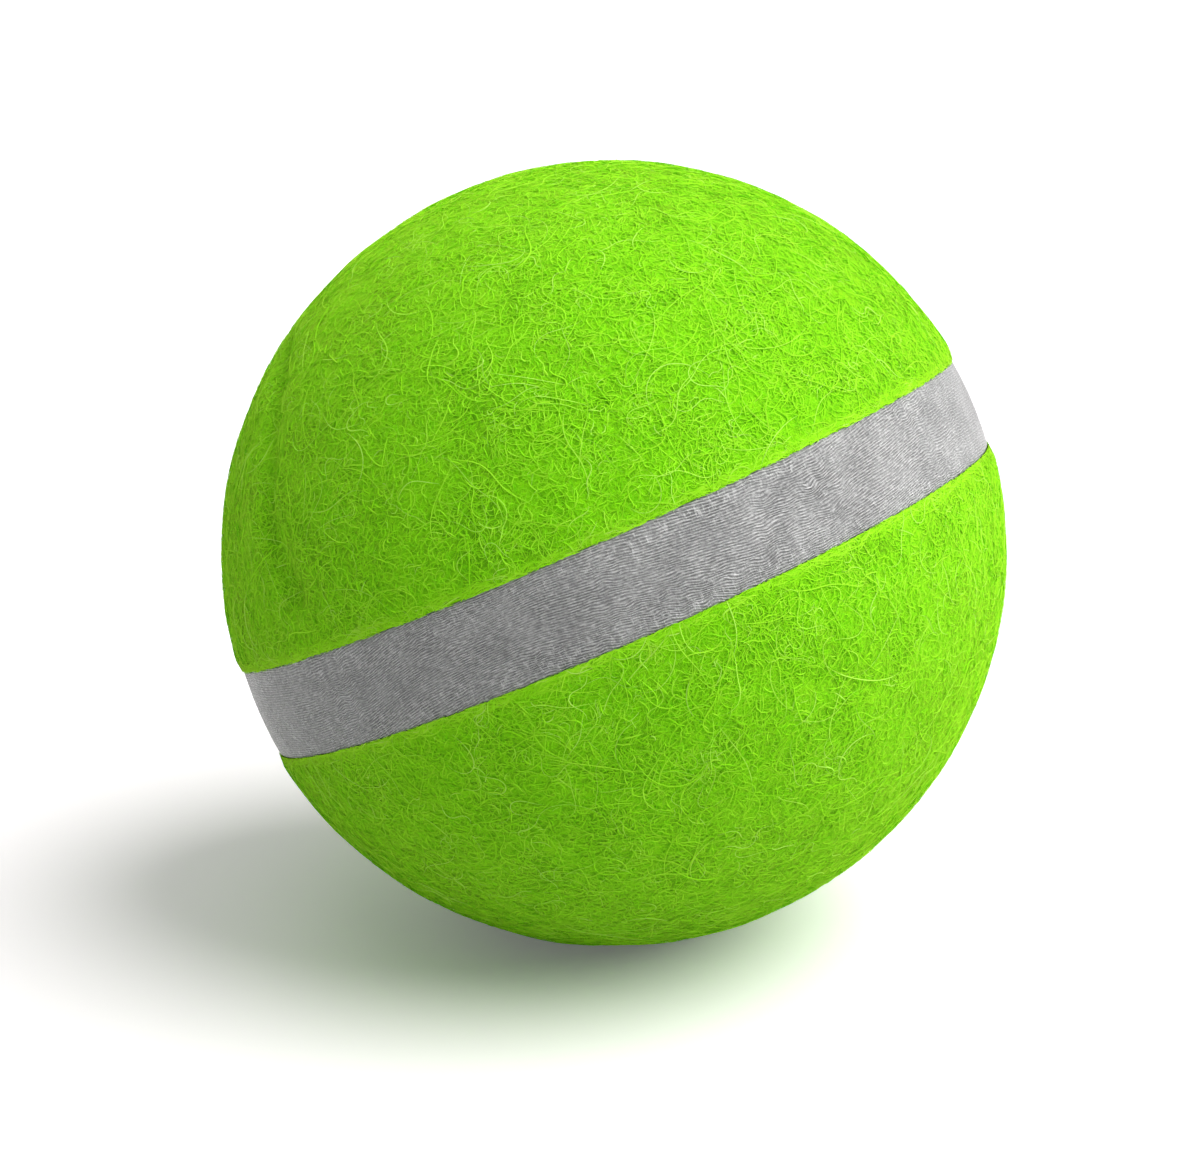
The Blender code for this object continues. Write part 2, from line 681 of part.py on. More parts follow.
def gear_outline(teeth, phase):
    """Outline of a gear with stub teeth, one of them centred on the angle phase."""
    pitch = gear_module * teeth / 2
    base = pitch * math.cos(PRESSURE_ANGLE)
    tip = pitch + gear_module * TOOTH_TIP
    root = pitch - gear_module * TOOTH_ROOT
    at_pitch = math.pi / (2 * teeth) - tooth_thinning / (2 * pitch)

    def half_angle(radius):
        pressure = math.acos(base / max(radius, base))
        involute = math.tan(pressure) - pressure
        return at_pitch + math.tan(PRESSURE_ANGLE) - PRESSURE_ANGLE - involute

    corners = (
        (root, -half_angle(root)),
        (tip, -half_angle(tip)),
        (tip, half_angle(tip)),
        (root, half_angle(root)),
    )
    outline = []
    for i in range(teeth):
        middle = phase + 2 * math.pi * i / teeth
        outline += [polar((0.0, 0.0), radius, middle + angle) for radius, angle in corners]
    return outline


def meshing_phase(centre, teeth, phase, other_centre, other_teeth):
    """Phase that sets the other gear's tooth gap on this gear's tooth, along the line of centres."""
    line = math.atan2(other_centre[1] - centre[1], other_centre[0] - centre[0])
    offset = (line - phase) * teeth / (2 * math.pi)
    return line + math.pi - (0.5 - offset) * 2 * math.pi / other_teeth


def gear(name, material, centre, tiers, bore):
    """Gear of stacked tiers, each an outline and its place along Y, with a bore right through."""
    bottom = min(tier[1] for tier in tiers)
    top = max(tier[2] for tier in tiers)
    middle = (bottom + top) / 2
    home = (centre[0], middle, centre[1])
    made = None
    for i, (outline, near, far) in enumerate(tiers):
        tier = plate(f"{name}_tier_{i + 1}", [outline], middle - far, middle - near)
        if made is None:
            made = tier
            made.name = name
            part(made, material, drive_frame, home, AGAINST_Y)
        else:
            join(made, helper(tier, drive_frame, home, AGAINST_Y))
    if bore:
        hole = plate(name + "_bore_cutter", [bore], 2 * (bottom - middle), 2 * (top - middle))
        cut(made, helper(hole, drive_frame, home, AGAINST_Y))
    return made


def flatted_circle(radius, flat):
    """Outline of a round bore or shaft with one flat, cut this deep, on its upper side."""
    limit = math.acos((radius - flat) / radius)
    count = SMALL_SEGMENTS
    first = math.pi / 2 + limit
    span = 2 * math.pi - 2 * limit
    return [polar((0.0, 0.0), radius, first + span * i / count) for i in range(count + 1)]


def build_gears():
    """Output gear on the drive axle, the two compound gears and the motor pinion."""
    lap = gear_width / 4
    output_phase = 0.0
    second_pinion = meshing_phase(OUTPUT_CENTRE, OUTPUT_TEETH, output_phase, second_centre, PINION_TEETH)
    second_wheel = second_pinion
    first_pinion = meshing_phase(second_centre, WHEEL_TEETH, second_wheel, first_centre, PINION_TEETH)
    first_wheel = first_pinion
    motor_pinion = meshing_phase(first_centre, WHEEL_TEETH, first_wheel, motor_centre, PINION_TEETH)
    sleeve = circle((0.0, 0.0), sleeve_radius)
    pin_hole = circle((0.0, 0.0), pin_bore)
    output_bore = flatted_circle(AXLE_RADIUS + SEAT_GAP, AXLE_FLAT_DEPTH)
    output = (gear_outline(OUTPUT_TEETH, output_phase), *output_layer)
    gear("output_gear", NYLON, OUTPUT_CENTRE, [output], output_bore)
    second = [
        (gear_outline(WHEEL_TEETH, second_wheel), *second_layer),
        (gear_outline(PINION_TEETH, second_pinion), second_layer[1] - lap, output_layer[1]),
        (sleeve, first_layer[0], second_layer[0] + lap),
    ]
    gear("second_gear", NYLON, second_centre, second, pin_hole)
    first = [
        (gear_outline(WHEEL_TEETH, first_wheel), *first_layer),
        (gear_outline(PINION_TEETH, first_pinion), first_layer[1] - lap, second_layer[1]),
        (sleeve, second_layer[1] - lap, output_layer[1]),
    ]
    gear("first_gear", NYLON, first_centre, first, pin_hole)
    shaft = circle((0.0, 0.0), motor_shaft_radius)
    rotor = [
        (gear_outline(PINION_TEETH, motor_pinion), *first_layer),
        (shaft, motor_front - plate_thickness, first_layer[0] + lap),
    ]
    gear("motor_pinion", BRASS, motor_centre, rotor, None)


def build_axles():
    """Axles from the shell into the bowl, with their washers and bushes."""
    drive = plate("drive_axle", [circle((0.0, 0.0), AXLE_RADIUS)], axle_end, head_inner + SEAT_GAP)
    part(drive, STEEL, shell_frame, turn=ALONG_Y)
    head = box(
        "drive_head_shape",
        (AXLE_HEAD_SIZE, AXLE_HEAD_SIZE, AXLE_HEAD_DEPTH),
        (0.0, 0.0, (head_inner + head_outer) / 2),
    )
    join(drive, helper(head, shell_frame, turn=ALONG_Y))
    flat_end = output_layer[1] + SEAT_GAP
    flat = box(
        "axle_flat_cutter",
        (4 * AXLE_RADIUS, 2 * (flat_end - axle_end), 2 * AXLE_RADIUS),
        (0.0, axle_end, 2 * AXLE_RADIUS - AXLE_FLAT_DEPTH),
    )
    cut(drive, helper(flat, drive_frame))
    idler_profile = [
        (0.0, head_outer),
        (AXLE_HEAD_SIZE / 2, head_outer),
        (AXLE_HEAD_SIZE / 2, head_inner),
        (AXLE_RADIUS, head_inner),
        (AXLE_RADIUS, bush_boss_end - SEAT_GAP),
        (0.0, bush_boss_end - SEAT_GAP),
    ]
    part(turned("idler_axle", idler_profile, SMALL_SEGMENTS), STEEL, shell_frame, turn=AGAINST_Y)
    flange_start = bush_boss_end - SEAT_GAP
    flange_radius = bush_outer + BUSH_FLANGE_WIDTH
    bush_profile = [
        (bush_outer, bush_face),
        (bush_outer, flange_start),
        (flange_radius, flange_start),
        (flange_radius, flange_end),
        (bush_inner, flange_end),
        (bush_inner, bush_face),
    ]
    for name, turn in (("drive", ALONG_Y), ("idler", AGAINST_Y)):
        washer = tube_ring(
            name + "_washer", bush_inner, WASHER_RADIUS, washer_inner_face, washer_outer_face, SMALL_SEGMENTS
        )
        part(washer, NYLON, shell_frame, turn=turn)
        bush = turned(name + "_bush", bush_profile, SMALL_SEGMENTS, True)
        part(bush, BRONZE, drive_frame, turn=turn)


def screw(name, length, location, turn=(0.0, 0.0, 0.0)):
    """Screw whose head sits on local Z = 0, with its shank below."""
    profile = [
        (0.0, screw_head_height - screw_recess_depth),
        (screw_recess_radius, screw_head_height),
        (screw_head_radius, screw_head_height),
        (screw_head_radius, 0.0),
        (screw_radius, 0.0),
        (screw_radius, -length),
        (0.0, -length),
    ]
    return part(turned(name, profile, SCREW_SEGMENTS), STEEL, drive_frame, location, turn)


def lid_screw_places():
    """Lid screws on the diagonals, in bosses that grow out of the bowl's rim."""
    distance = ring_at(bowl_inner, rim_height) - 0.6 * lid_boss_radius
    return [polar((0.0, 0.0), distance, math.radians(45.0 + 90.0 * i)) for i in range(4)]


def build_bowl():
    """Drive bowl with its bush bosses, lid bosses and the ribs that hold the bulkhead."""
    rim_outer = math.asin(rim_height / bowl_outer)
    profile = sphere_arc(bowl_inner, -math.pi / 2, bowl_rim_angle, BOWL_RINGS)
    profile += sphere_arc(bowl_outer, rim_outer, -math.pi / 2, BOWL_RINGS)
    bowl = part(turned("drive_bowl", profile, BOWL_SEGMENTS), BOWL, drive_frame)
    for name, turn in (("drive", ALONG_Y), ("idler", AGAINST_Y)):
        boss = rod(name + "_bush_boss", bush_boss, bush_boss_end, bush_face)
        join(bowl, helper(boss, drive_frame, turn=turn))
        hole = rod(name + "_bush_cutter", bush_hole, bush_boss_end - bush_length, BALL_RADIUS)
        cut(bowl, helper(hole, drive_frame, turn=turn))
    for i, (x, y) in enumerate(lid_screw_places()):
        boss = rod(f"lid_boss_{i + 1}", lid_boss_radius, rim_height - lid_boss_depth, rim_height)
        join(bowl, helper(boss, drive_frame, (x, y, 0.0)))
        pilot_end = deck_top + SEAT_GAP - lid_screw_length - SEAT_GAP
        pilot = rod(f"lid_pilot_{i + 1}", screw_hole, pilot_end, deck_top, SCREW_SEGMENTS)
        cut(bowl, helper(pilot, drive_frame, (x, y, 0.0)))
    rib_reach = bowl_outer - 0.4 * BOWL_WALL
    slots = (
        ("front", bulkhead_outer + SEAT_GAP + rib_thickness / 2),
        ("back", bulkhead_inner - SEAT_GAP - rib_thickness / 2),
    )
    for name, y in slots:
        start = bulkhead_radius() - rib_grip
        end = ring_at(rib_reach, y)
        size = (end - start, rib_thickness, rib_height)
        for side, sign in (("right", 1), ("left", -1)):
            rib = box(f"rib_{name}_{side}", size, (sign * (start + end) / 2, y, 0.0))
            join(bowl, helper(rib, drive_frame))


def bulkhead_radius():
    """Radius at which the bulkhead's edge seats in the bowl."""
    return ring_at(bowl_space, bulkhead_outer)


def bulkhead_outline():
    """Disc that fills the bowl across, cut level under the deck and over the ballast."""
    radius = bulkhead_radius()
    low = math.asin((ballast_top + SEAT_GAP) / radius)
    high = math.asin((rim_height - SEAT_GAP) / radius)
    count = 12
    right = [polar((0.0, 0.0), radius, low + (high - low) * i / count) for i in range(count + 1)]
    left = [(-x, z) for x, z in reversed(right)]
    return right + left


def motor_screw_places():
    """Motor screws on either side of the shaft, clear of the first gear's teeth and of the lower post."""
    across = MOTOR_ANGLE - MOTOR_SCREW_TURN
    return [polar(motor_centre, sign * motor_screw_pitch / 2, across) for sign in (1, -1)]


def build_gearcase():
    """Bulkhead with its posts, cover plate, gear pins and screws."""
    holes = [circle(centre, pin_radius + SEAT_GAP) for centre in (second_centre, first_centre)]
    holes.append(circle(motor_centre, motor_shaft_radius + 2 * RUNNING_GAP))
    holes += [circle(centre, screw_hole, SCREW_SEGMENTS) for centre in motor_screw_places()]
    bulkhead = plate("gear_bulkhead", [bulkhead_outline()] + holes, -bulkhead_outer, -bulkhead_inner)
    part(bulkhead, BOWL, drive_frame, turn=AGAINST_Y)
    post_end = cover_inner - SEAT_GAP
    for i, (x, z) in enumerate(post_places):
        post = rod(f"post_{i + 1}", post_radius, bulkhead_inner + plate_thickness / 2, post_end)
        join(bulkhead, helper(post, drive_frame, (x, 0.0, z), ALONG_Y))
        pilot_end = cover_outer + SEAT_GAP - cover_screw_length - SEAT_GAP
        pilot = rod(f"post_pilot_{i + 1}", screw_hole, pilot_end, cover_outer, SCREW_SEGMENTS)
        cut(bulkhead, helper(pilot, drive_frame, (x, 0.0, z), ALONG_Y))
        head_seat = cover_outer + SEAT_GAP
        screw(f"cover_screw_{i + 1}", cover_screw_length, (x, head_seat, z), ALONG_Y)
    edge = []
    for centre in (second_centre, first_centre):
        edge += circle(centre, pin_radius + 2 * SEAT_GAP + screw_radius)
    for centre in post_places:
        edge += circle(centre, post_radius)
    edge += circle(OUTPUT_CENTRE, bush_outer)
    outline = [edge[i] for i in convex_hull_2d(edge)]
    holes = [circle(centre, pin_radius + SEAT_GAP) for centre in (second_centre, first_centre)]
    holes += [circle(centre, screw_hole, SCREW_SEGMENTS) for centre in post_places]
    holes.append(circle(OUTPUT_CENTRE, AXLE_RADIUS + RUNNING_GAP))
    cover = plate("gear_cover", [outline] + holes, -cover_outer, -cover_inner)
    part(cover, BOWL, drive_frame, turn=AGAINST_Y)
    pin_start = bulkhead_inner + SEAT_GAP
    pin_end = cover_outer - SEAT_GAP
    for name, (x, z) in (("first_gear_pin", first_centre), ("second_gear_pin", second_centre)):
        pin = rod(name, pin_radius, pin_start, pin_end)
        part(pin, STEEL, drive_frame, (x, 0.0, z), ALONG_Y)


def motor_body(name, back, front):
    """Length of the motor's section: a round can with flats above and below."""
    body = rod(name, motor_radius, back, front, 28)
    return body


def flatten_motor(body, name, back, front):
    """Cut the motor's two flats."""
    size = (4 * motor_radius, motor_flats, 2 * (front - back))
    flats = box(name, size, (0.0, 0.0, (front + back) / 2))
    join(body, helper(flats, drive_frame, (motor_centre[0], 0.0, motor_centre[1]), ALONG_Y), "INTERSECT")


def build_motor():
    """Motor can, its end cap with two tabs, its screws and its leads."""
    home = (motor_centre[0], 0.0, motor_centre[1])
    can = motor_body("motor_can", motor_back, motor_front)
    part(can, STEEL, drive_frame, home, ALONG_Y)
    flatten_motor(can, "can_flats", motor_back, motor_front)
    shaft_hole = rod(
        "shaft_cutter", motor_shaft_radius + RUNNING_GAP, motor_front - 2 * plate_thickness, BALL_RADIUS
    )
    cut(can, helper(shaft_hole, drive_frame, home, ALONG_Y))
    head_seat = bulkhead_outer + SEAT_GAP
    for i, (x, z) in enumerate(motor_screw_places()):
        depth = head_seat - motor_screw_length - SEAT_GAP
        tapping = rod(f"motor_tapping_{i + 1}", screw_hole, depth, BALL_RADIUS, SCREW_SEGMENTS)
        cut(can, helper(tapping, drive_frame, (x, 0.0, z), ALONG_Y))
        screw(f"motor_screw_{i + 1}", motor_screw_length, (x, head_seat, z), ALONG_Y)
    cap = motor_body("motor_end_cap", motor_end, motor_back - SEAT_GAP)
    part(cap, BLACK, drive_frame, home, ALONG_Y)
    flatten_motor(cap, "cap_flats", motor_end, motor_back - SEAT_GAP)
    for name, sign, material in (("red", 1, RED), ("black", -1, BLACK)):
        x = motor_centre[0] + sign * tab_spacing / 2
        width, reach, thickness = tab_size
        tab = box(f"tab_{name}", (width, 2 * reach, thickness), (x, motor_end, motor_centre[1]))
        join(cap, helper(tab, drive_frame))
        start = motor_end - reach - SEAT_GAP
        top = board_bottom - SEAT_GAP
        z = motor_centre[1]
        bend = 3 * lead_radius
        route = [
            (x, start, z),
            (x, start - bend, z),
            (x, start - 2 * bend, z + bend),
            (x, start - 2 * bend, top - 2 * bend),
            (x, start - bend, top - bend),
            (x, start - bend, top),
        ]
        lead(f"motor_lead_{name}", route, material)


def lead(name, route, material):
    """Insulated wire along a route."""
    curve = bpy.data.curves.new(name, "CURVE")
    curve.dimensions = "3D"
    curve.bevel_depth = lead_radius
    curve.bevel_resolution = 1
    curve.use_fill_caps = True
    spline = curve.splines.new("POLY")
    spline.points.add(len(route) - 1)
    for point, (x, y, z) in zip(spline.points, route):
        point.co = (x, y, z, 1.0)
    part(bpy.data.objects.new(name, curve), material, drive_frame)


def build_battery():
    """Battery cell, its cradle, its leads and the ballast under them."""
    front = bulkhead_inner - 2 * SEAT_GAP
    shoulder_end = front - battery_nub_height
    back = front - battery_length
    edge = 2 * SEAT_GAP
    profile = [
        (0.0, front),
        (battery_nub_radius, front),
        (battery_nub_radius, shoulder_end),
        (battery_radius - edge, shoulder_end),
        (battery_radius, shoulder_end - edge),
        (battery_radius, back + edge),
        (battery_radius - edge, back),
        (0.0, back),
    ]
    home = (battery_x, 0.0, battery_z)
    part(turned("battery_cell", profile, 28), CELL, drive_frame, home, ALONG_Y)
    floor = ballast_top + SEAT_GAP
    middle = (front + back) / 2
    size = (cradle_width, cradle_length, battery_z - floor)
    cradle = box("battery_cradle", size, (battery_x, middle, (battery_z + floor) / 2))
    part(cradle, BLACK, drive_frame)
    seat = rod("battery_cutter", battery_radius + SEAT_GAP, back - edge, front + edge, 28)
    cut(cradle, helper(seat, drive_frame, home, ALONG_Y))
    ball = turned("cradle_limit", sphere_arc(bowl_space, math.pi / 2, -math.pi / 2, 16), BOWL_SEGMENTS)
    join(cradle, helper(ball, drive_frame), "INTERSECT")
    for name, share, material in (("red", 0.0, RED), ("black", 0.5, BLACK)):
        x = battery_x - share * battery_radius
        start = back - SEAT_GAP
        top = board_bottom - SEAT_GAP
        bend = 3 * lead_radius
        z = battery_z + battery_radius / 2
        route = [
            (x, start, z),
            (x, start - bend, z),
            (x, start - 1.5 * bend, z + bend),
            (x, start - 1.5 * bend, top - 2 * bend),
            (x, start - bend / 2, top - bend),
            (x, start - bend / 2, top),
        ]
        lead(f"battery_lead_{name}", route, material)
    low = math.asin(ballast_top / bowl_space)
    ballast_profile = [(0.0, ballast_top)] + sphere_arc(bowl_space, low, -math.pi / 2, 5)
    part(turned("ballast_weight", ballast_profile, BOWL_SEGMENTS), STEEL, drive_frame)


def build_deck():
    """Deck lid with its screws, and the posts that carry the board."""
    holes = [circle(place_of, screw_hole, SCREW_SEGMENTS) for place_of in lid_screw_places()]
    holes.append(circle(switch_place, button_radius + RUNNING_GAP))
    holes.append(circle(light_place, light_radius + SEAT_GAP))
    width = socket_size[0] + 2 * SEAT_GAP
    length = socket_size[1] + 2 * SEAT_GAP
    holes.append(rectangle(socket_place, width, length))
    disc = circle((0.0, 0.0), deck_radius, BOWL_SEGMENTS)
    lid = plate("deck_lid", [disc] + holes, deck_bottom, deck_top)
    part(lid, DECK, drive_frame)
    for i, (x, y) in enumerate(board_posts):
        post = rod(f"board_post_{i + 1}", board_post_radius, board_seat, deck_bottom + deck_thickness / 2)
        join(lid, helper(post, drive_frame, (x, y, 0.0)))
        pilot_end = board_bottom - SEAT_GAP + board_screw_length + SEAT_GAP
        pilot = rod(f"board_pilot_{i + 1}", screw_hole, board_bottom, pilot_end, SCREW_SEGMENTS)
        cut(lid, helper(pilot, drive_frame, (x, y, 0.0)))
        upside_down = (math.pi, 0.0, 0.0)
        screw(f"board_screw_{i + 1}", board_screw_length, (x, y, board_bottom - SEAT_GAP), upside_down)
    for i, (x, y) in enumerate(lid_screw_places()):
        screw(f"lid_screw_{i + 1}", lid_screw_length, (x, y, deck_top + SEAT_GAP))


def build_board():
    """Circuit board with the charge socket, switch, light, sensor and chip."""
    outline = rectangle((0.0, board_y), board_width, board_length)
    holes = [circle(place_of, screw_hole, SCREW_SEGMENTS) for place_of in board_posts]
    part(plate("circuit_board", [outline] + holes, board_bottom, board_top), GREEN_BOARD, drive_frame)
    x, y = socket_place
    width, depth, height = socket_size
    socket = box("charge_socket", socket_size, (x, y, board_seat + height / 2))
    part(socket, STEEL, drive_frame)
    tongue_width, tongue_thickness, tongue_height = socket_tongue
    floor = board_seat + height - tongue_height - socket_wall
    mouth_size = (width - 2 * socket_wall, depth - 2 * socket_wall, 2 * (tongue_height + socket_wall))
    mouth = box("socket_mouth", mouth_size, (x, y, floor + mouth_size[2] / 2))
    cut(socket, helper(mouth, drive_frame))
    tongue_size = (tongue_width, tongue_thickness, tongue_height + socket_wall)
    tongue = box("socket_tongue", tongue_size, (x, y, floor + (tongue_height - socket_wall) / 2))
    join(socket, helper(tongue, drive_frame))
    x, y = switch_place
    switch_box = (switch_size, switch_size, switch_height)
    switch = box("power_switch", switch_box, (x, y, board_seat + switch_height / 2))
    part(switch, BLACK, drive_frame)
    bore_floor = stem_bottom - button_travel - RUNNING_GAP
    bore = rod("stem_cutter", button_stem_radius + RUNNING_GAP, bore_floor, deck_top)
    cut(switch, helper(bore, drive_frame, (x, y, 0.0)))
    button_top = deck_top + button_proud
    flange_radius = button_radius + button_flange
    profile = [
        (0.0, button_top),
        (button_radius - button_proud / 2, button_top),
        (button_radius, button_top - button_proud / 2),
        (button_radius, button_flange_top),
        (flange_radius, button_flange_top),
        (flange_radius, button_flange_bottom),
        (button_stem_radius, button_flange_bottom),
        (button_stem_radius, stem_bottom),
        (0.0, stem_bottom),
    ]
    part(turned("power_button", profile, SMALL_SEGMENTS), BUTTON, drive_frame, (x, y, 0.0))
    x, y = light_place
    dome = deck_top - SEAT_GAP - light_radius
    light = [(r, dome + z) for r, z in sphere_arc(light_radius, math.pi / 2, 0.0, 3)]
    light += [(light_radius, board_seat), (0.0, board_seat)]
    part(turned("status_light", light, SMALL_SEGMENTS), LENS, drive_frame, (x, y, 0.0))
    x, y = sensor_place
    sensor = rod("motion_sensor", sensor_radius, board_seat, board_seat + sensor_height)
    part(sensor, STEEL, drive_frame, (x, y, 0.0))
    x, y = chip_place
    chip = box("control_chip", chip_size, (x, y, board_seat + chip_size[2] / 2))
    part(chip, BLACK, drive_frame)


build_covers()
build_shells()
build_axles()
build_gears()
build_bowl()
build_gearcase()
build_motor()
build_battery()
build_deck()
build_board()
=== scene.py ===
"""Pet toy ball: felt covers, reflective band and finishes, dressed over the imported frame."""

import json
import math

import bmesh
import bpy
import numpy as np
from mathutils import Matrix, Vector


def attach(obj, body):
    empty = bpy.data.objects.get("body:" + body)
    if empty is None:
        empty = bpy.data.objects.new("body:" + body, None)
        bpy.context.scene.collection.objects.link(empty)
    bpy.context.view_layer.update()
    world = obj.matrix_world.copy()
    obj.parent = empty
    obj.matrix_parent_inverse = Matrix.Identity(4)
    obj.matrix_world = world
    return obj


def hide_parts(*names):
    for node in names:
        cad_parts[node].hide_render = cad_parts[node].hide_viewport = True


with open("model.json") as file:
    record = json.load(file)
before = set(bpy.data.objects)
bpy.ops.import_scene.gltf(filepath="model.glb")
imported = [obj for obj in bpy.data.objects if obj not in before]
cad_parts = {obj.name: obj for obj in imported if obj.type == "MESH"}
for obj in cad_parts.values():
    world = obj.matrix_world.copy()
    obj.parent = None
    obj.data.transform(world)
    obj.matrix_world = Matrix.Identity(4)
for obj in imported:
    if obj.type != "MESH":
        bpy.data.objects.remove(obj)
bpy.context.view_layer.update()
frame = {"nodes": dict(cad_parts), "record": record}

# Sizes of the ball, in metres, as in the part's source
BALL_CENTRE = Vector((0.0, 0.0, 0.042))
BALL_RADIUS = 0.0425
BAND_LEAN = math.radians(26.1)
FELT_INNER = 0.0399
BAND_WIDTH = 0.0100
BAND_OUTER = 0.0421
BAND_INNER = 0.0415

# The felt's edge, which is thinner than in the source and just covers the band's edge
FELT_LIP = 0.00012  # radius of the rolled edge
EDGE_DROP = 0.00022  # how far the felt's surface falls to the edge
EDGE_TAPER = 0.0018  # the length over which it falls
SEAM_HEIGHT = 0.00497  # of the edge, from the band's middle line
UNDERCUT_HEIGHT = 0.00508

# The felt's nap
NAP_DEPTH = 0.00013  # from the ball's surface down to the felt's ground
LIP_NAP_DEPTH = 0.00001
FIBRE_STOP = 0.00006  # how far past the start of the rolled edge a fibre of the nap runs
EDGE_REACH = 0.00490  # how close to the band's middle line a fibre of the edge comes
FIBRE_DIP = 0.00009  # how far a fibre's ends lie under its middle
FIBRE_ROLL = 0.36  # spread of the fibres' roll about their own length, in radians
FIBRE_SHADES = 0.16  # spread of the fibres' shades
MOTTLE = 0.06  # how far the shade drifts from place to place
FLAT_LENGTH = 0.001  # the length before the edge in which fibres lie flatter
FLAT_SHARE = 0.75
EDGE_ROOTS = (-0.0009, 0.0002)  # where the edge's fibres lie, from the start of the rolled edge
EDGE_SWERVE = 0.35  # spread of their turn away from the band's own direction, in radians
LENGTH_LEAN = (1.4, 2.6)  # more short fibres than long ones
SWINGS = (0.6, 1.6)  # waves along a fibre
TIP_SHARE = 0.25  # of its full width
HEIGHT_LEAN = (2.0, 2.0)  # most fibres at middle height in their layer
ARCH = 0.6  # power of a fibre's arch; a lower one rises sooner from its ends
SHADE_SPAN = (0.02, 0.98)
MAP_HALF = 0.012  # half a fibre's width in the map
MAP_MARGIN = 0.01
FLOOR_GAP = 0.00003  # under the fibres that lie on the floor
FLOOR_STEP = 0.00004  # between the two sides of such a fibre

# Rows of points down a cover, and steps round it
FACE_ROWS = 82
FACE_END = 0.0022  # before the start of the rolled edge
EDGE_ROWS = 22
EDGE_START = 0.0018
INNER_ROWS = 26
COVER_STEPS = 300
SINK_START = 0.002  # where the ground starts to come up to the edge

# The felt's soft form
LUMP_HEIGHT = 0.00003
TUFT_HEIGHT = 0.00003
FADE_LENGTH = 0.003  # the length over which it fades out towards the edge
FADE_HEIGHT = 0.0055  # where it ends on the ground, from the band's middle line
OUTER_START = 0.0405  # the reach from which the ground carries it
OUTER_FADE = 0.001
CREASE = ((54.8, -132.7), (47.6, -121.0), (34.4, -115.8), (27.2, -115.7), (20.9, -112.6), (15.0, -110.0))
CREASE_DEPTH = 0.00115
CREASE_HALF_WIDTH = 0.0018

# The band's turned edges, its ridges and the place where they are worn smooth
BAND_TURNED = 0.04  # the share of the half width that turns in
BAND_EDGE_DROP = 0.00010
RIDGE_PITCH = 0.00027
WORN_TURN = math.radians(20)
WORN_SPREAD = math.radians(22)
WORN_SHARE = 0.85
SLOW_WANDER = 0.0009  # how far the ridges wander
MIDDLE_WANDER = 0.00012
FINE_WANDER = 0.00010
BROAD_PUFF = 0.00002  # how far the cloth puffs up
FINE_PUFF = 0.000008
PUFF_DEPTH = 0.00015  # how deep under the face it does
PUFF_FADE = 0.0001
BAND_ROWS = 81
BACK_ROWS = 9
BAND_STEPS = 600

# The angle past which an edge of a rounded CAD piece stays sharp
SHARP_EDGE = math.radians(24)

# The photograph's size and the ball's centre in it, in pixels, and the camera that fits them
PHOTO_WIDTH = 1200
PHOTO_HEIGHT = 1149
BALL_ACROSS = 613.9
BALL_DOWN = 553.0
CAMERA_TURN = math.radians(24.43)
CAMERA_RISE = math.radians(16.68)
CAMERA_DISTANCE = 0.2975
CAMERA_LENS = 81.6
SENSOR_WIDTH = 36.0

# Lamps: turn from the camera's right towards its front, height and spread, in degrees, and strength
LAMPS = (
    ("side_softbox", 10.0, 47.0, 62.0, 3.58),
    ("top_softbox", 30.0, 78.0, 70.0, 0.63),
    ("back_softbox", 225.0, 36.0, 70.0, 0.57),
)
LAMP_COLOUR = (1.0, 0.99, 0.97)
DOME_COLOUR = (0.97, 0.985, 1.0)
DOME_STRENGTH = 0.10
WHITE = (1.0, 1.0, 1.0)

# The floor, as it lights the ball and as it is seen
FLOOR_COLOUR = (0.62, 0.62, 0.62)
FLOOR_SEEN = (1.26, 1.22, 1.26)
FLOOR_GLOW = 0.12
FLOOR_HALF = 6.0

ball_turn = np.array(Matrix.Rotation(-BAND_LEAN, 3, "Y"))
chance = np.random.default_rng(85)


# Camera


def set_camera():
    """The camera at the photograph's viewing angle, shifted to its framing."""
    back = Vector(
        (
            math.sin(CAMERA_TURN) * math.cos(CAMERA_RISE),
            -math.cos(CAMERA_TURN) * math.cos(CAMERA_RISE),
            math.sin(CAMERA_RISE),
        )
    )
    data = bpy.data.cameras.new("photo_camera")
    data.lens = CAMERA_LENS
    data.sensor_width = SENSOR_WIDTH
    data.shift_x = (PHOTO_WIDTH / 2 - BALL_ACROSS) / PHOTO_WIDTH
    data.shift_y = (BALL_DOWN - PHOTO_HEIGHT / 2) / PHOTO_WIDTH
    data.clip_start = 0.01
    camera = bpy.data.objects.new("photo_camera", data)
    camera.location = BALL_CENTRE + back * CAMERA_DISTANCE
    camera.rotation_euler = back.to_track_quat("Z", "Y").to_euler()
    bpy.context.collection.objects.link(camera)
    bpy.context.scene.camera = camera


# Shader maths


class Value:
    """A shader socket that takes part in Python expressions."""

    def __init__(self, nodes, socket):
        self.nodes, self.socket = nodes, socket

    def math(self, operation, *others):
        return self.nodes.node("ShaderNodeMath", {"operation": operation}, [self, *others])

    def __add__(self, other):
        return self.math("ADD", other)

    def __sub__(self, other):
        return self.math("SUBTRACT", other)

    def __rsub__(self, other):
        return self.nodes.node("ShaderNodeMath", {"operation": "SUBTRACT"}, [other, self])

    def __mul__(self, other):
        return self.math("MULTIPLY", other)

    def __abs__(self):
        return self.math("ABSOLUTE")

    __radd__ = __add__
    __rmul__ = __mul__


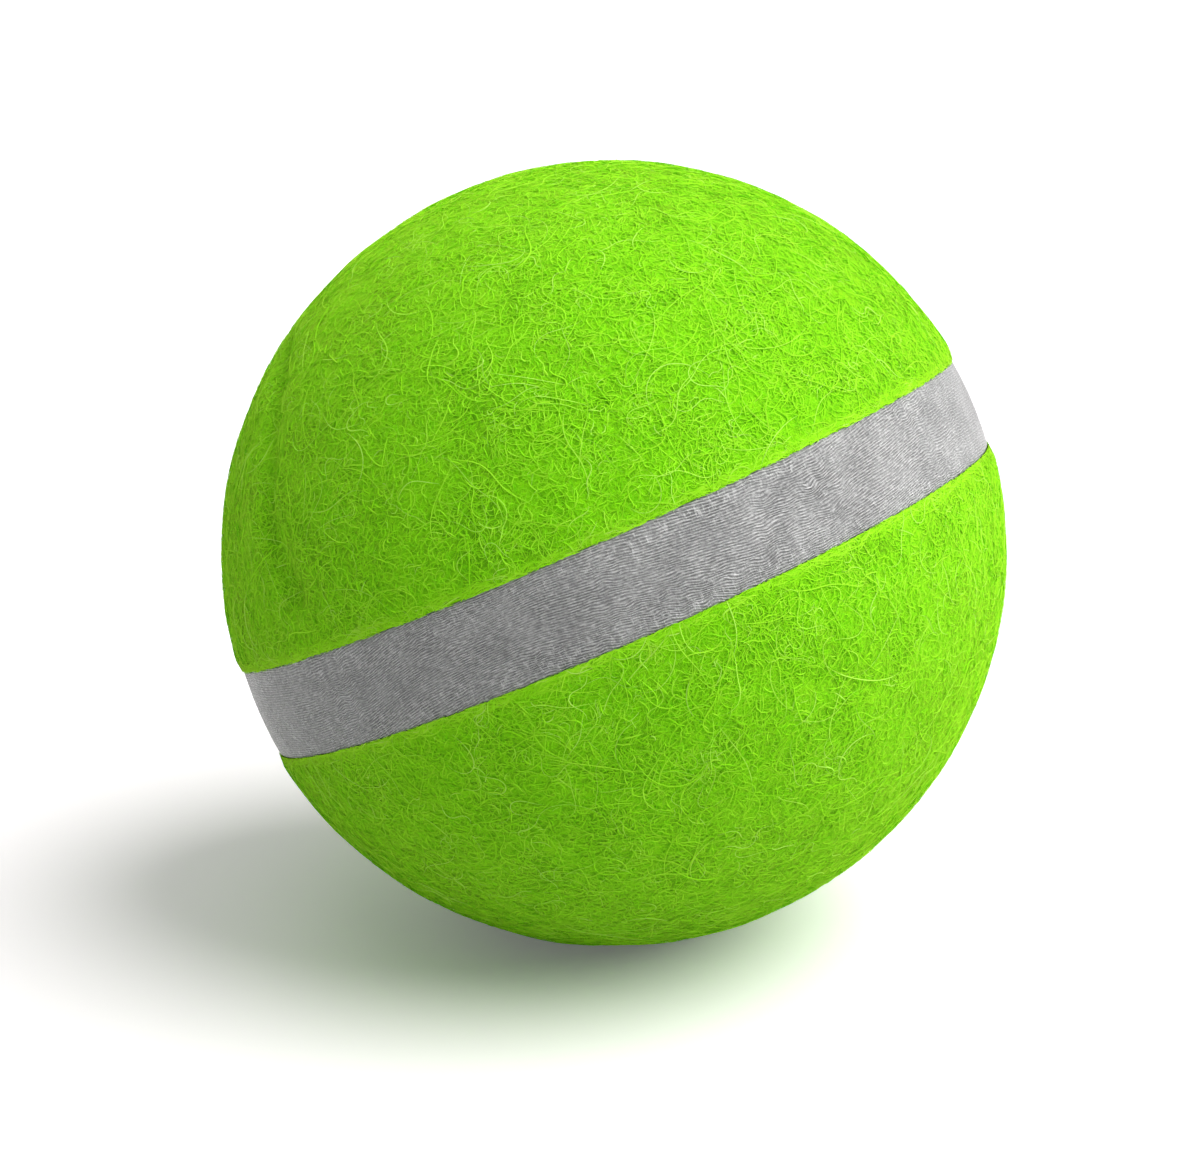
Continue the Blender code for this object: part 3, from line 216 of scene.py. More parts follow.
class Nodes:
    """A node tree, and the one way in which nodes are added to it."""

    def __init__(self, tree):
        self.tree = tree

    def node(self, kind, settings=None, sockets=(), output=0):
        """A node of one kind, with its settings made and its sockets fed."""
        made = self.tree.nodes.new(kind)
        for key, setting in (settings or {}).items():
            if key == "stops":
                elements = made.color_ramp.elements
                while len(elements) < len(setting):
                    elements.new(0.5)
                for element, (position, colour) in zip(elements, setting):
                    element.position = position
                    element.color = (*colour, 1.0)
            else:
                setattr(made, key, setting)
        pairs = sockets.items() if isinstance(sockets, dict) else enumerate(sockets)
        for key, given in pairs:
            self.feed(made.inputs[key], given)
        return Value(self, made.outputs[output]) if made.outputs else None

    def feed(self, socket, given):
        """A link where a value is given, and otherwise a number or colour set on the socket."""
        if isinstance(given, Value):
            self.tree.links.new(given.socket, socket)
        elif isinstance(given, tuple) and len(given) == 3 and socket.type == "RGBA":
            socket.default_value = (*given, 1.0)
        else:
            socket.default_value = given

    def seen(self):
        """1 for the camera, reflections and clear pieces, and 0 for the light that falls on the object."""
        camera, glossy, clear = (
            self.node("ShaderNodeLightPath", output=f"Is {ray} Ray")
            for ray in ("Camera", "Glossy", "Transmission")
        )
        return camera.math("MAXIMUM", glossy.math("MAXIMUM", clear))


class Finish(Nodes):
    """One material: its nodes, and what they feed in the shader."""

    def __init__(self, name):
        self.material = bpy.data.materials.new(name)
        self.material.use_nodes = True
        super().__init__(self.material.node_tree)
        self.shader = self.tree.nodes["Principled BSDF"]

    def set(self, **sockets):
        for name, given in sockets.items():
            self.feed(self.shader.inputs[name.replace("_", " ")], given)

    def place(self):
        return self.node("ShaderNodeTexCoord", output="Object")

    def noise(self, place, scale, detail=2.0, roughness=0.5, kind="FBM", distortion=0.0):
        return self.node(
            "ShaderNodeTexNoise",
            {"noise_type": kind},
            {
                "Vector": place,
                "Scale": scale,
                "Detail": detail,
                "Roughness": roughness,
                "Distortion": distortion,
            },
        )

    def span(self, value, low, high, to_low=0.0, to_high=1.0):
        """Value from low to high taken smoothly to the new span."""
        return self.node(
            "ShaderNodeMapRange",
            {"interpolation_type": "SMOOTHSTEP"},
            [value, low, high, to_low, to_high],
        )

    def mix(self, factor, first, second):
        return self.node(
            "ShaderNodeMix", {"data_type": "RGBA"}, {0: factor, 6: first, 7: second}, output=2
        )

    def bump(self, height, depth, strength=1.0):
        return self.node(
            "ShaderNodeBump", None, {"Height": height, "Distance": depth, "Strength": strength}
        )


# Finishes


def felt_ground_finish():
    """The felted ground under the nap: a tangle of fibres, painted darker than the nap above it and darkest
    in its crevices, as painted shade.
    """
    felt = Finish("lime_felt_ground")
    place = felt.place()
    tangle = felt.noise(place, 760.0, 3.0, 0.6, "RIDGED_MULTIFRACTAL", 0.6)
    fine = felt.noise(place, 1900.0, 3.0, 0.65)
    patches = felt.noise(place, 160.0, 2.0)
    strands = felt.span(tangle, 0.2, 1.3) * 0.6 + felt.span(fine, 0.3, 0.7) * 0.4
    # The ramp follows the bump's strands: its dark end is painted shade in the crevices, and all of it sits
    # below the nap's colours as painted shade under the fibres.
    colour = felt.node(
        "ShaderNodeValToRGB",
        {
            "stops": [
                (0.0, (0.066, 0.365, 0.0004)),
                (0.35, (0.228, 0.820, 0.0016)),
                (1.0, (0.340, 0.955, 0.0040)),
            ]
        },
        [strands * 0.8 + felt.span(patches, 0.3, 0.7) * 0.2],
    )
    felt.set(
        Base_Color=colour,
        Roughness=1.0,
        Specular_IOR_Level=0.0,
        Sheen_Weight=1.0,
        Sheen_Roughness=0.70,
        Sheen_Tint=(0.62, 1.0, 0.07),
        Normal=felt.bump(strands, 0.00025, 0.9),
    )
    return felt.material


def nap_finish():
    """The nap's fibres: shade by fibre across the map, root to tip along it, with both ends darkened as
    painted shade where they dip into the nap.
    """
    nap = Finish("lime_felt_nap")
    chart = nap.node("ShaderNodeTexCoord", output="UV")
    shade, along = (nap.node("ShaderNodeSeparateXYZ", None, [chart], axis) for axis in (0, 1))
    middle = 1.0 - abs(along * 2.0 - 1.0)
    colour = nap.node(
        "ShaderNodeValToRGB",
        {
            "stops": [
                (0.0, (0.165, 0.680, 0.0010)),
                (0.45, (0.325, 0.955, 0.0028)),
                (0.8, (0.440, 0.980, 0.0320)),
                (1.0, (0.560, 0.990, 0.1400)),
            ]
        },
        [shade],
    )
    # Both ends of each fibre are mixed towards this darker green: painted shade where they dip under the
    # other fibres.
    root = nap.mix(0.25, colour, (0.11, 0.51, 0.0010))
    nap.set(
        Base_Color=nap.mix(nap.span(middle, 0.0, 0.5), root, colour),
        Roughness=0.9,
        Specular_IOR_Level=0.30,
        Sheen_Weight=1.0,
        Sheen_Roughness=0.70,
        Sheen_Tint=(0.55, 1.0, 0.03),
    )
    return nap.material


def band_finish():
    """Grey reflective cloth: lengthwise ridges, crinkles by the edges and a fine leathery grain, with
    painted highlights on the relief and painted shade in its grooves.
    """
    tape = Finish("grey_reflective_tape")
    local = tape.node(
        "ShaderNodeVectorRotate",
        {"rotation_type": "Y_AXIS"},
        {"Vector": tape.place(), "Center": tuple(BALL_CENTRE), "Angle": BAND_LEAN},
    )
    local = tape.node("ShaderNodeVectorMath", {"operation": "SUBTRACT"}, [local, tuple(BALL_CENTRE)])
    across_span, along_x, along_y = (
        tape.node("ShaderNodeSeparateXYZ", None, [local], axis) for axis in (2, 0, 1)
    )
    along = along_y.math("ARCTAN2", along_x) * BAND_OUTER
    ridge = tape.node("ShaderNodeAttribute", {"attribute_name": "ridge"}, output="Fac")
    strength = tape.node("ShaderNodeAttribute", {"attribute_name": "ridge_strength"}, output="Fac")
    ridges = (ridge * (2 * math.pi)).math("COSINE")
    strand = tape.node("ShaderNodeCombineXYZ", None, [ridge, along * 620.0, 0.0])
    dashes = tape.span(tape.noise(strand, 2.0, 1.5, 0.5), 0.34, 0.66)
    grain = tape.noise(local, 3600.0, 3.0, 0.6)
    edge = tape.span(abs(across_span), 0.0012, 0.0046, 0.1, 1.0)
    strip = tape.node("ShaderNodeCombineXYZ", None, [along, across_span * 0.30, 0.0])
    crinkle = tape.noise(strip, 3000.0, 2.0, 0.55)
    marks = tape.span(crinkle, 0.50, 0.68) * edge
    relief = ridges * (strength * 0.22 + 0.03) + dashes * (strength * 0.26 + 0.14)
    relief = relief + grain * 0.60 + marks * strength * 0.35
    patches = tape.noise(local, 240.0, 3.0)
    # The colour follows the relief: painted shade in the grooves and painted highlights on the ridges and
    # crinkles, with random patches over them.
    tone = tape.span(relief, 0.17, 1.0) * 0.8 + tape.span(patches, 0.25, 0.75) * 0.2
    tape.set(
        Base_Color=tape.mix(tone, (0.172, 0.174, 0.178), (0.810, 0.814, 0.820)),
        Roughness=tape.span(grain, 0.3, 0.7, 0.32, 0.50),
        Specular_IOR_Level=0.40,
        Sheen_Weight=0.1,
        Sheen_Roughness=0.5,
        Normal=tape.bump(relief, 0.00018),
    )
    return tape.material


def moulded_finish(name, colour, roughness, grain=900.0, depth=0.00002, spread=0.12, subsurface=0.0):
    """Moulded plastic or rubber with a fine tool texture and a little unevenness."""
    plastic = Finish(name)
    place = plastic.place()
    texture = plastic.noise(place, grain, 3.0, 0.6)
    cloud = plastic.noise(place, 60.0, 2.0)
    dark = tuple(c * (1 - spread) for c in colour)
    plastic.set(
        Base_Color=plastic.mix(plastic.span(cloud, 0.3, 0.7) * 0.7 + texture * 0.3, dark, colour),
        Roughness=plastic.span(texture, 0.25, 0.75, roughness - 0.07, roughness + 0.07),
        Normal=plastic.bump(texture, depth, 0.5),
        Subsurface_Weight=subsurface,
        Subsurface_Radius=(0.002, 0.002, 0.002),
    )
    return plastic.material


def metal_finish(name, colour, roughness, pores=0.0):
    """Turned or rolled metal with drawn marks, or sintered metal with pores."""
    metal = Finish(name)
    place = metal.place()
    stretched = metal.node(
        "ShaderNodeMapping", {"vector_type": "TEXTURE"}, {"Vector": place, "Scale": (0.05, 1.0, 1.0)}
    )
    marks = metal.noise(stretched, 2600.0, 2.0)
    speck = metal.noise(place, 4200.0, 2.0)
    dull = tuple(c * (0.84 - 0.3 * pores) for c in colour)
    tone = metal.span(marks, 0.3, 0.7) * (1 - pores) + metal.span(speck, 0.42, 0.55) * pores
    metal.set(
        Base_Color=metal.mix(tone, dull, colour),
        Metallic=1.0,
        Roughness=metal.span(marks, 0.3, 0.7, roughness - 0.06, roughness + 0.08),
        Normal=metal.bump(marks + speck * pores, 0.00001, 0.4),
    )
    return metal.material


def board_finish():
    """Solder mask over copper tracks."""
    board = Finish("green_solder_mask")
    place = board.place()
    tracks = board.node(
        "ShaderNodeTexVoronoi",
        {"distance": "CHEBYCHEV", "feature": "F1"},
        {"Vector": place, "Scale": 420.0},
    )
    rings = board.span((tracks * 14.0).math("FRACT"), 0.35, 0.45)
    cloud = board.noise(place, 700.0, 2.0)
    green = board.mix(cloud, (0.006, 0.085, 0.030), (0.010, 0.115, 0.042))
    board.set(
        Base_Color=board.mix(rings * 0.6, green, (0.022, 0.180, 0.070)),
        Roughness=board.span(cloud, 0.2, 0.8, 0.22, 0.36),
        Normal=board.bump(rings, 0.00003, 0.5),
    )
    return board.material


def lens_finish():
    """Clear moulded light guide with a faint flow mark."""
    lens = Finish("clear_light_guide")
    flow = lens.noise(lens.place(), 500.0, 2.0, distortion=0.8)
    lens.set(
        Base_Color=lens.mix(flow, (0.86, 0.93, 0.88), (0.97, 1.0, 0.98)),
        Roughness=lens.span(flow, 0.2, 0.8, 0.10, 0.22),
        Transmission_Weight=0.75,
        IOR=1.49,
        Normal=lens.bump(flow, 0.00002, 0.3),
    )
    return lens.material


# Mesh helpers


def add_piece(name, mesh, material, body, slot, *nodes):
    """A finished piece that rides on a body, in place of the CAD nodes named."""
    piece = bpy.data.objects.new(name, mesh)
    bpy.context.collection.objects.link(piece)
    mesh.materials.append(material)
    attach(piece, body)
    if nodes:
        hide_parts(*nodes)


def spun_mesh(name, profile, steps):
    """A profile of (radius, height) points spun about the ball's pole, in the ball's own frame."""
    bm = bmesh.new()
    points = [bm.verts.new((radius, 0.0, height)) for radius, height in profile]
    edges = [bm.edges.new(pair) for pair in zip(points, points[1:])]
    bmesh.ops.spin(
        bm,
        geom=points + edges,
        cent=(0, 0, 0),
        axis=(0, 0, 1),
        angle=2 * math.pi,
        steps=steps,
        use_merge=True,
    )
    bmesh.ops.remove_doubles(bm, verts=bm.verts, dist=1e-7)
    bmesh.ops.recalc_face_normals(bm, faces=bm.faces)
    for face in bm.faces:
        face.smooth = True
    mesh = bpy.data.meshes.new(name)
    bm.to_mesh(mesh)
    bm.free()
    return mesh


def get_points(mesh):
    """The mesh's points, a row for each."""
    flat = np.empty(len(mesh.vertices) * 3)
    mesh.vertices.foreach_get("co", flat)
    return flat.reshape(-1, 3)


def set_points(mesh, points):
    """Puts the mesh's points where the rows say."""
    mesh.vertices.foreach_set("co", np.ascontiguousarray(points).ravel())
    mesh.update()


def to_ball(points):
    """Points in the ball's own frame, pole up, to their place in the model."""
    return points @ ball_turn.T + np.array(BALL_CENTRE)


# Felt


def soft_field(waves, shortest, longest, seed):
    """A smooth random field of unit spread, as a sum of plane waves."""
    dice = np.random.default_rng(seed)
    turn = dice.normal(size=(waves, 3))
    turn /= np.linalg.norm(turn, axis=1)[:, None]
    turn *= (2 * math.pi / dice.uniform(shortest, longest, waves))[:, None]
    phase = dice.uniform(0, 2 * math.pi, waves)

    def field(points):
        return np.cos(points @ turn.T + phase).sum(axis=-1) * math.sqrt(2 / waves)

    return field


lumps = soft_field(24, 0.006, 0.013, 11)
tufts = soft_field(32, 0.0022, 0.0048, 12)
mottle = soft_field(32, 0.0030, 0.0080, 13)

crease_line = np.array(
    [
        (
            math.cos(math.radians(lat)) * math.cos(math.radians(lon)),
            math.cos(math.radians(lat)) * math.sin(math.radians(lon)),
            math.sin(math.radians(lat)),
        )
        for lat, lon in CREASE
    ]
)


def crease_dip(directions):
    """How far the crease on the left of the upper cover sinks at each direction."""
    nearest = np.full(directions.shape[:-1], np.inf)
    for start, end in zip(crease_line, crease_line[1:]):
        run = end - start
        share = np.clip(((directions - start) @ run) / (run @ run), 0, 1)
        gap = np.linalg.norm(directions - (start + share[..., None] * run), axis=-1)
        nearest = np.minimum(nearest, gap)
    return CREASE_DEPTH * np.exp(-((nearest * BALL_RADIUS / CREASE_HALF_WIDTH) ** 2))


lip_height = SEAM_HEIGHT + FELT_LIP
lip_radius = math.sqrt((BALL_RADIUS - EDGE_DROP - FELT_LIP) ** 2 - lip_height**2)
lip_angle = math.atan2(lip_height, lip_radius)
lip_start = BALL_RADIUS * (math.pi / 2 - lip_angle)
lip_end = lip_start + FELT_LIP * (lip_angle + math.pi / 2)


def edge_thinning(run):
    """How far the felt's surface falls towards the band, run metres from the pole."""
    share = np.clip((run - lip_start + EDGE_TAPER) / EDGE_TAPER, 0, 1)
    return EDGE_DROP * share**2


def felt_line(run):
    """(radius, height) and outward direction of the felt's outer line, run metres from the pole."""
    on_ball = np.minimum(run, lip_start) / BALL_RADIUS
    on_lip = np.clip((run - lip_start) / FELT_LIP, 0, lip_angle + math.pi / 2)
    outward = math.pi / 2 - on_ball - on_lip
    out = np.stack((np.cos(outward), np.sin(outward)), axis=-1)
    rolled = (run > lip_start)[..., None]
    middle = np.where(rolled, np.array((lip_radius, lip_height)), 0.0)
    reach = np.where(rolled, FELT_LIP, (BALL_RADIUS - edge_thinning(run))[..., None])
    return middle + out * reach, out


def felt_points(run, turn, lift, side):
    """Points lift above the felt's outer line, in the ball's own frame; side is 1 above, -1 below."""
    line, out = felt_line(run)
    line = line + out * lift[..., None]
    points = np.stack((line[..., 0] * np.cos(turn), line[..., 0] * np.sin(turn), line[..., 1]), axis=-1)
    directions = points / np.linalg.norm(points, axis=-1, keepdims=True)
    on_face = np.clip((lip_end - run) / FADE_LENGTH, 0, 1)
    sway = lumps(points * (1, 1, side)) * LUMP_HEIGHT * on_face
    if side > 0:
        sway = sway - crease_dip(directions)
    return (points + directions * sway[..., None]) * (1, 1, side)


def felt_cover(name, side, body, node):
    """The felted ground of one cover, with its rolled edge at the band."""
    run = np.concatenate(
        (
            np.linspace(0, lip_start - FACE_END, FACE_ROWS),
            np.linspace(lip_start - EDGE_START, lip_end, EDGE_ROWS),
        )
    )
    line, out = felt_line(run)
    sunk = np.interp(run, (lip_start - SINK_START, lip_end), (NAP_DEPTH, LIP_NAP_DEPTH))
    profile = [tuple(point) for point in line - out * sunk[:, None]]
    undercut = math.hypot(*profile[-1]) - LIP_NAP_DEPTH
    profile.append((math.sqrt(undercut**2 - UNDERCUT_HEIGHT**2), UNDERCUT_HEIGHT))
    start = math.asin(UNDERCUT_HEIGHT / FELT_INNER)
    for angle in np.linspace(start, math.pi / 2, INNER_ROWS):
        profile.append((FELT_INNER * math.cos(angle), FELT_INNER * math.sin(angle)))
    profile[0] = (0.0, profile[0][1])
    profile[-1] = (0.0, FELT_INNER)
    if side < 0:
        profile = [(radius, -height) for radius, height in profile]
    mesh = spun_mesh(name, profile, COVER_STEPS)
    points = get_points(mesh)
    reach = np.linalg.norm(points, axis=1)
    directions = points / reach[:, None]
    outside = np.clip((reach - OUTER_START) / OUTER_FADE, 0, 1)
    face = outside * np.clip((abs(points[:, 2]) - FADE_HEIGHT) / FADE_LENGTH, 0, 1)
    sway = (lumps(points) * LUMP_HEIGHT + tufts(points) * TUFT_HEIGHT) * face
    if side > 0:
        sway -= crease_dip(directions) * face
    placed = to_ball(points + directions * sway[:, None])
    placed[:, 2] = np.maximum(placed[:, 2], 0.0)
    set_points(mesh, placed)
    add_piece(name, mesh, ground, body, "lime_felt", node)


def fibre_strip(segments):
    """The faces of one flat fibre, root to tip: pairs of points, left and right."""
    bm = bmesh.new()
    bmesh.ops.create_grid(bm, x_segments=segments, y_segments=1, size=0.5)
    bm.verts.ensure_lookup_table()
    order = sorted(range(len(bm.verts)), key=lambda i: (bm.verts[i].co.x, bm.verts[i].co.y))
    rank = {vertex: place for place, vertex in enumerate(order)}
    faces = [[rank[v.index] for v in face.verts] for face in bm.faces]
    bm.free()
    return np.array(faces)


def curl_fibres(aim, segments, length, width, bend, wave):
    """How far east and south of its middle each fibre's two sides run, and half its width."""
    count = len(aim)
    long = length[0] + (length[1] - length[0]) * chance.beta(*LENGTH_LEAN, count)
    wide = chance.uniform(*width, count)
    curl = chance.normal(0, bend, count)[:, None]
    swing = chance.normal(0, wave, count)[:, None]
    swings = chance.uniform(*SWINGS, count)[:, None]
    begun = chance.uniform(0, 1, count)[:, None]
    along = np.linspace(0, 1, segments + 1)
    heading = aim[:, None] + curl * (along - 0.5) + swing * np.sin(2 * math.pi * (along * swings + begun))
    step = (long / segments)[:, None]
    middle = (heading[:, 1:] + heading[:, :-1]) / 2
    root = np.zeros((count, 1))
    east = np.concatenate((root, np.cumsum(np.cos(middle) * step, axis=1)), axis=1)
    south = np.concatenate((root, np.cumsum(np.sin(middle) * step, axis=1)), axis=1)
    east -= east.mean(axis=1, keepdims=True)
    south -= south.mean(axis=1, keepdims=True)
    half = wide[:, None] * np.clip(np.sin(math.pi * along) ** 0.5, TIP_SHARE, 1.0) / 2
    aside = np.sin(heading) * half
    ahead = np.cos(heading) * half
    east = np.stack((east + aside, east - aside), axis=-1)
    south = np.stack((south - ahead, south + ahead), axis=-1)
    return east, south, half


def ways_over_ball(run, turn, east, south):
    """Directions from the ball's centre to points east and south of each fibre's own place."""
    tilt = run / BALL_RADIUS
    sine, cosine = np.sin(tilt), np.cos(tilt)
    up = np.stack((sine * np.cos(turn), sine * np.sin(turn), cosine), axis=-1)
    east_way = np.stack((-np.sin(turn), np.cos(turn), np.zeros(len(turn))), axis=-1)
    south_way = np.stack((cosine * np.cos(turn), cosine * np.sin(turn), -sine), axis=-1)
    ways = up[:, None, None] * BALL_RADIUS + east[..., None] * east_way[:, None, None]
    ways = ways + south[..., None] * south_way[:, None, None]
    return ways / np.linalg.norm(ways, axis=-1, keepdims=True)


def fibre_mesh(name, placed, side, segments, shade):
    """Flat strips through the placed points, mapped by shade across and from root to tip along."""
    count = len(shade)
    strip = fibre_strip(segments)
    if side < 0:
        strip = strip[:, ::-1]
    faces = (strip[None] + (np.arange(count) * 2 * (segments + 1))[:, None, None]).reshape(-1, 4)
    along = np.linspace(0, 1, segments + 1)
    across = shade[:, None, None] + np.array((-MAP_HALF, MAP_HALF))
    across = np.broadcast_to(across, (count, segments + 1, 2))
    upward = MAP_MARGIN + (1 - 2 * MAP_MARGIN) * along
    upward = np.broadcast_to(upward[None, :, None], (count, segments + 1, 2))
    chart = np.stack((across, upward), axis=-1).reshape(-1, 2)
    mesh = bpy.data.meshes.new(name)
    mesh.vertices.add(len(placed))
    mesh.loops.add(faces.size)
    mesh.polygons.add(len(faces))
    mesh.vertices.foreach_set("co", placed.ravel())
    mesh.loops.foreach_set("vertex_index", faces.ravel())
    mesh.polygons.foreach_set("loop_start", np.arange(0, faces.size, 4))
    mesh.polygons.foreach_set("use_smooth", np.ones(len(faces), dtype=bool))
    mesh.uv_layers.new(name="OFBake").data.foreach_set("uv", chart[faces.ravel()].ravel())
    mesh.update(calc_edges=True)
    mesh.validate()
    return mesh


def lay_fibres(
    name, side, body, count, segments, length, width, rise, bend, wave, brightness, over_edge=False
):
    """Curled fibres scattered over one cover, each lying in the nap and dipping in at both ends."""
    table = np.linspace(0, lip_start, 2000)
    weight = np.cumsum(felt_line(table)[0][:, 0])
    home_run = np.interp(chance.uniform(0, weight[-1], count), weight, table)
    home_turn = chance.uniform(0, 2 * math.pi, count)
    aim = chance.uniform(0, 2 * math.pi, count)
    if over_edge:
        home_run = lip_start + chance.uniform(*EDGE_ROOTS, count)
        aim = chance.normal(0, EDGE_SWERVE, count)
    east, south, half = curl_fibres(aim, segments, length, width, bend, wave)
    ways = ways_over_ball(home_run, home_turn, east, south)
    run = np.minimum(np.arccos(np.clip(ways[..., 2], -1, 1)) * BALL_RADIUS, lip_start + FIBRE_STOP)
    turn = np.arctan2(ways[..., 1], ways[..., 0])

    # Arched from root to tip, rolled a little, and flatter near the edge
    top = (rise[0] + (rise[1] - rise[0]) * chance.beta(*HEIGHT_LEAN, count))[:, None]
    arch = np.sin(math.pi * np.linspace(0, 1, segments + 1)) ** ARCH
    lift = top - FIBRE_DIP * (1 - arch)
    roll = np.clip(chance.normal(0, FIBRE_ROLL, count), -1, 1)[:, None]
    lift = np.stack((lift + half * np.sin(roll), lift - half * np.sin(roll)), axis=-1)
    near_edge = np.clip((run - lip_start + FLAT_LENGTH) / FLAT_LENGTH, 0, 1)
    lift = lift * (1 - FLAT_SHARE * near_edge)
    if over_edge:
        height = np.maximum(ways[..., 2], EDGE_REACH / BALL_RADIUS)
        level = np.sqrt(1 - height**2)
        ways = np.stack((level * np.cos(turn), level * np.sin(turn), height), axis=-1)
        reach = BALL_RADIUS - edge_thinning(np.arccos(height) * BALL_RADIUS) + lift
        points = ways * reach[..., None] * (1, 1, side)
    else:
        points = felt_points(run, turn, lift, side)
    home = points[:, segments // 2].mean(axis=1)
    placed = to_ball(points.reshape(-1, 3))

    # Pressed flat on the floor where the ball rests, the two sides at different heights
    placed[:, 2] = np.maximum(placed[:, 2], FLOOR_GAP + FLOOR_STEP * (np.arange(len(placed)) % 2))
    shade = chance.normal(brightness, FIBRE_SHADES, count) + MOTTLE * mottle(home)
    mesh = fibre_mesh(name, placed, side, segments, np.clip(shade, *SHADE_SPAN))
    add_piece(name, mesh, nap, body, "lime_felt")


# Band


def make_band():
    """The band: a crowned strip with turned edges, and where its wandering ridges run."""
    half = BAND_WIDTH / 2
    profile = []
    for share in np.linspace(-1, 1, BAND_ROWS):
        drop = BAND_EDGE_DROP * max(0.0, (abs(share) - (1 - BAND_TURNED)) / BAND_TURNED) ** 2
        height = share * half
        profile.append((math.sqrt(BAND_OUTER**2 - height**2) - drop, height))
    for share in np.linspace(1, -1, BACK_ROWS):
        height = share * half
        profile.append((math.sqrt(BAND_INNER**2 - height**2), height))
    profile.append(profile[0])
    mesh = spun_mesh("reflective_band_cloth", profile, BAND_STEPS)
    points = get_points(mesh)
    reach = np.linalg.norm(points, axis=1)
    face = np.clip((reach - BAND_OUTER + PUFF_DEPTH) / PUFF_FADE, 0, 1)
    turn = np.arctan2(points[:, 1], points[:, 0])
    worn = WORN_SHARE * np.exp(-(((turn - WORN_TURN) / WORN_SPREAD) ** 2))
    unrest = 0.5 + 0.5 * np.tanh(1.5 * soft_field(20, 0.008, 0.020, 24)(points))
    wander = soft_field(12, 0.030, 0.060, 26)(points) * SLOW_WANDER
    wander += soft_field(20, 0.006, 0.016, 21)(points) * MIDDLE_WANDER
    wander += soft_field(64, 0.0012, 0.0028, 25)(points) * FINE_WANDER * unrest
    strength = (0.75 + 0.25 * np.tanh(1.5 * soft_field(48, 0.0015, 0.006, 22)(points))) * (1 - worn)
    phase = (points[:, 2] + wander) / RIDGE_PITCH
    puff = soft_field(20, 0.004, 0.012, 23)(points) * BROAD_PUFF
    puff += soft_field(48, 0.0012, 0.0030, 27)(points) * FINE_PUFF * (1 - worn)
    points *= (1 + puff * face / reach)[:, None]
    mesh.attributes.new("ridge", "FLOAT", "POINT").data.foreach_set("value", phase)
    mesh.attributes.new("ridge_strength", "FLOAT", "POINT").data.foreach_set("value", strength)
    set_points(mesh, to_ball(points))
    add_piece(
        "reflective_band_cloth", mesh, band_finish(), "lower_half", "grey_tape", "reflective_band"
    )


# Finishes of the inside


def smooth_copy(node, name, body, slot, material):
    """A smooth-shaded copy of a rounded CAD node, which it replaces."""
    bm = bmesh.new()
    bm.from_mesh(frame["nodes"][node].data)
    bmesh.ops.remove_doubles(bm, verts=bm.verts, dist=1e-6)
    for face in bm.faces:
        face.smooth = True
    for edge in bm.edges:
        edge.smooth = edge.calc_face_angle(0.0) < SHARP_EDGE
    mesh = bpy.data.meshes.new(name)
    bm.to_mesh(mesh)
    bm.free()
    add_piece(name, mesh, material, body, slot, node)


def dress_inside():
    """A finish for each CAD node of the inside, by its slot."""
    finishes = {
        "white_shell": moulded_finish("white_moulding", (0.70, 0.71, 0.69), 0.38),
        "steel": metal_finish("bright_steel", (0.62, 0.63, 0.64), 0.28),
        "nylon_gear": moulded_finish("ivory_nylon", (0.74, 0.70, 0.58), 0.40, 1400.0, subsurface=0.1),
        "brass": metal_finish("turned_brass", (0.72, 0.52, 0.20), 0.24),
        "bronze_bush": metal_finish("sintered_bronze", (0.50, 0.33, 0.17), 0.42, pores=0.7),
        "grey_silicone": moulded_finish("grey_silicone_rubber", (0.23, 0.24, 0.25), 0.62, 700.0),
        "graphite_bowl": moulded_finish(
            "graphite_moulding", (0.050, 0.053, 0.058), 0.46, 1100.0, 0.00004, 0.3
        ),
        "black_plastic": moulded_finish("black_plastic", (0.022, 0.022, 0.024), 0.42, 1500.0, 0.00002, 0.3),
        "blue_sleeve": moulded_finish("blue_cell_sleeve", (0.035, 0.130, 0.420), 0.30, 260.0, 0.00006, 0.2),
        "green_board": board_finish(),
        "clear_lens": lens_finish(),
        "pale_deck": moulded_finish("pale_deck_moulding", (0.54, 0.56, 0.57), 0.50, 1300.0, 0.00004),
        "lime_button": moulded_finish("lime_button_rubber", (0.250, 0.700, 0.030), 0.48, 800.0),
        "red_lead": moulded_finish("red_lead_sleeve", (0.520, 0.024, 0.020), 0.40, 900.0),
        "black_lead": moulded_finish("black_lead_sleeve", (0.020, 0.020, 0.021), 0.42, 900.0, spread=0.3),
    }
    rounded = {
        "upper_shell": ("upper_shell_moulding", "upper_half"),
        "lower_shell": ("lower_shell_moulding", "lower_half"),
        "drive_bowl": ("drive_bowl_moulding", "drive_unit"),
        "sealing_ring": ("sealing_ring_rubber", "seal"),
        "power_button": ("power_button_cap", "button"),
        "motor_can": ("motor_can_drawn", "drive_unit"),
        "battery_cell": ("battery_cell_sleeved", "drive_unit"),
    }
    slots = {part["node"]: part["material_slot"] for part in frame["record"]["subparts"]}
    for node, slot in slots.items():
        if slot not in finishes:
            continue
        if node in rounded:
            name, body = rounded[node]
            smooth_copy(node, name, body, slot, finishes[slot])
            continue
        made = frame["nodes"][node]
        if not made.material_slots:
            made.data.materials.append(finishes[slot])
        for place in made.material_slots:
            place.material = finishes[slot]


# Light and floor


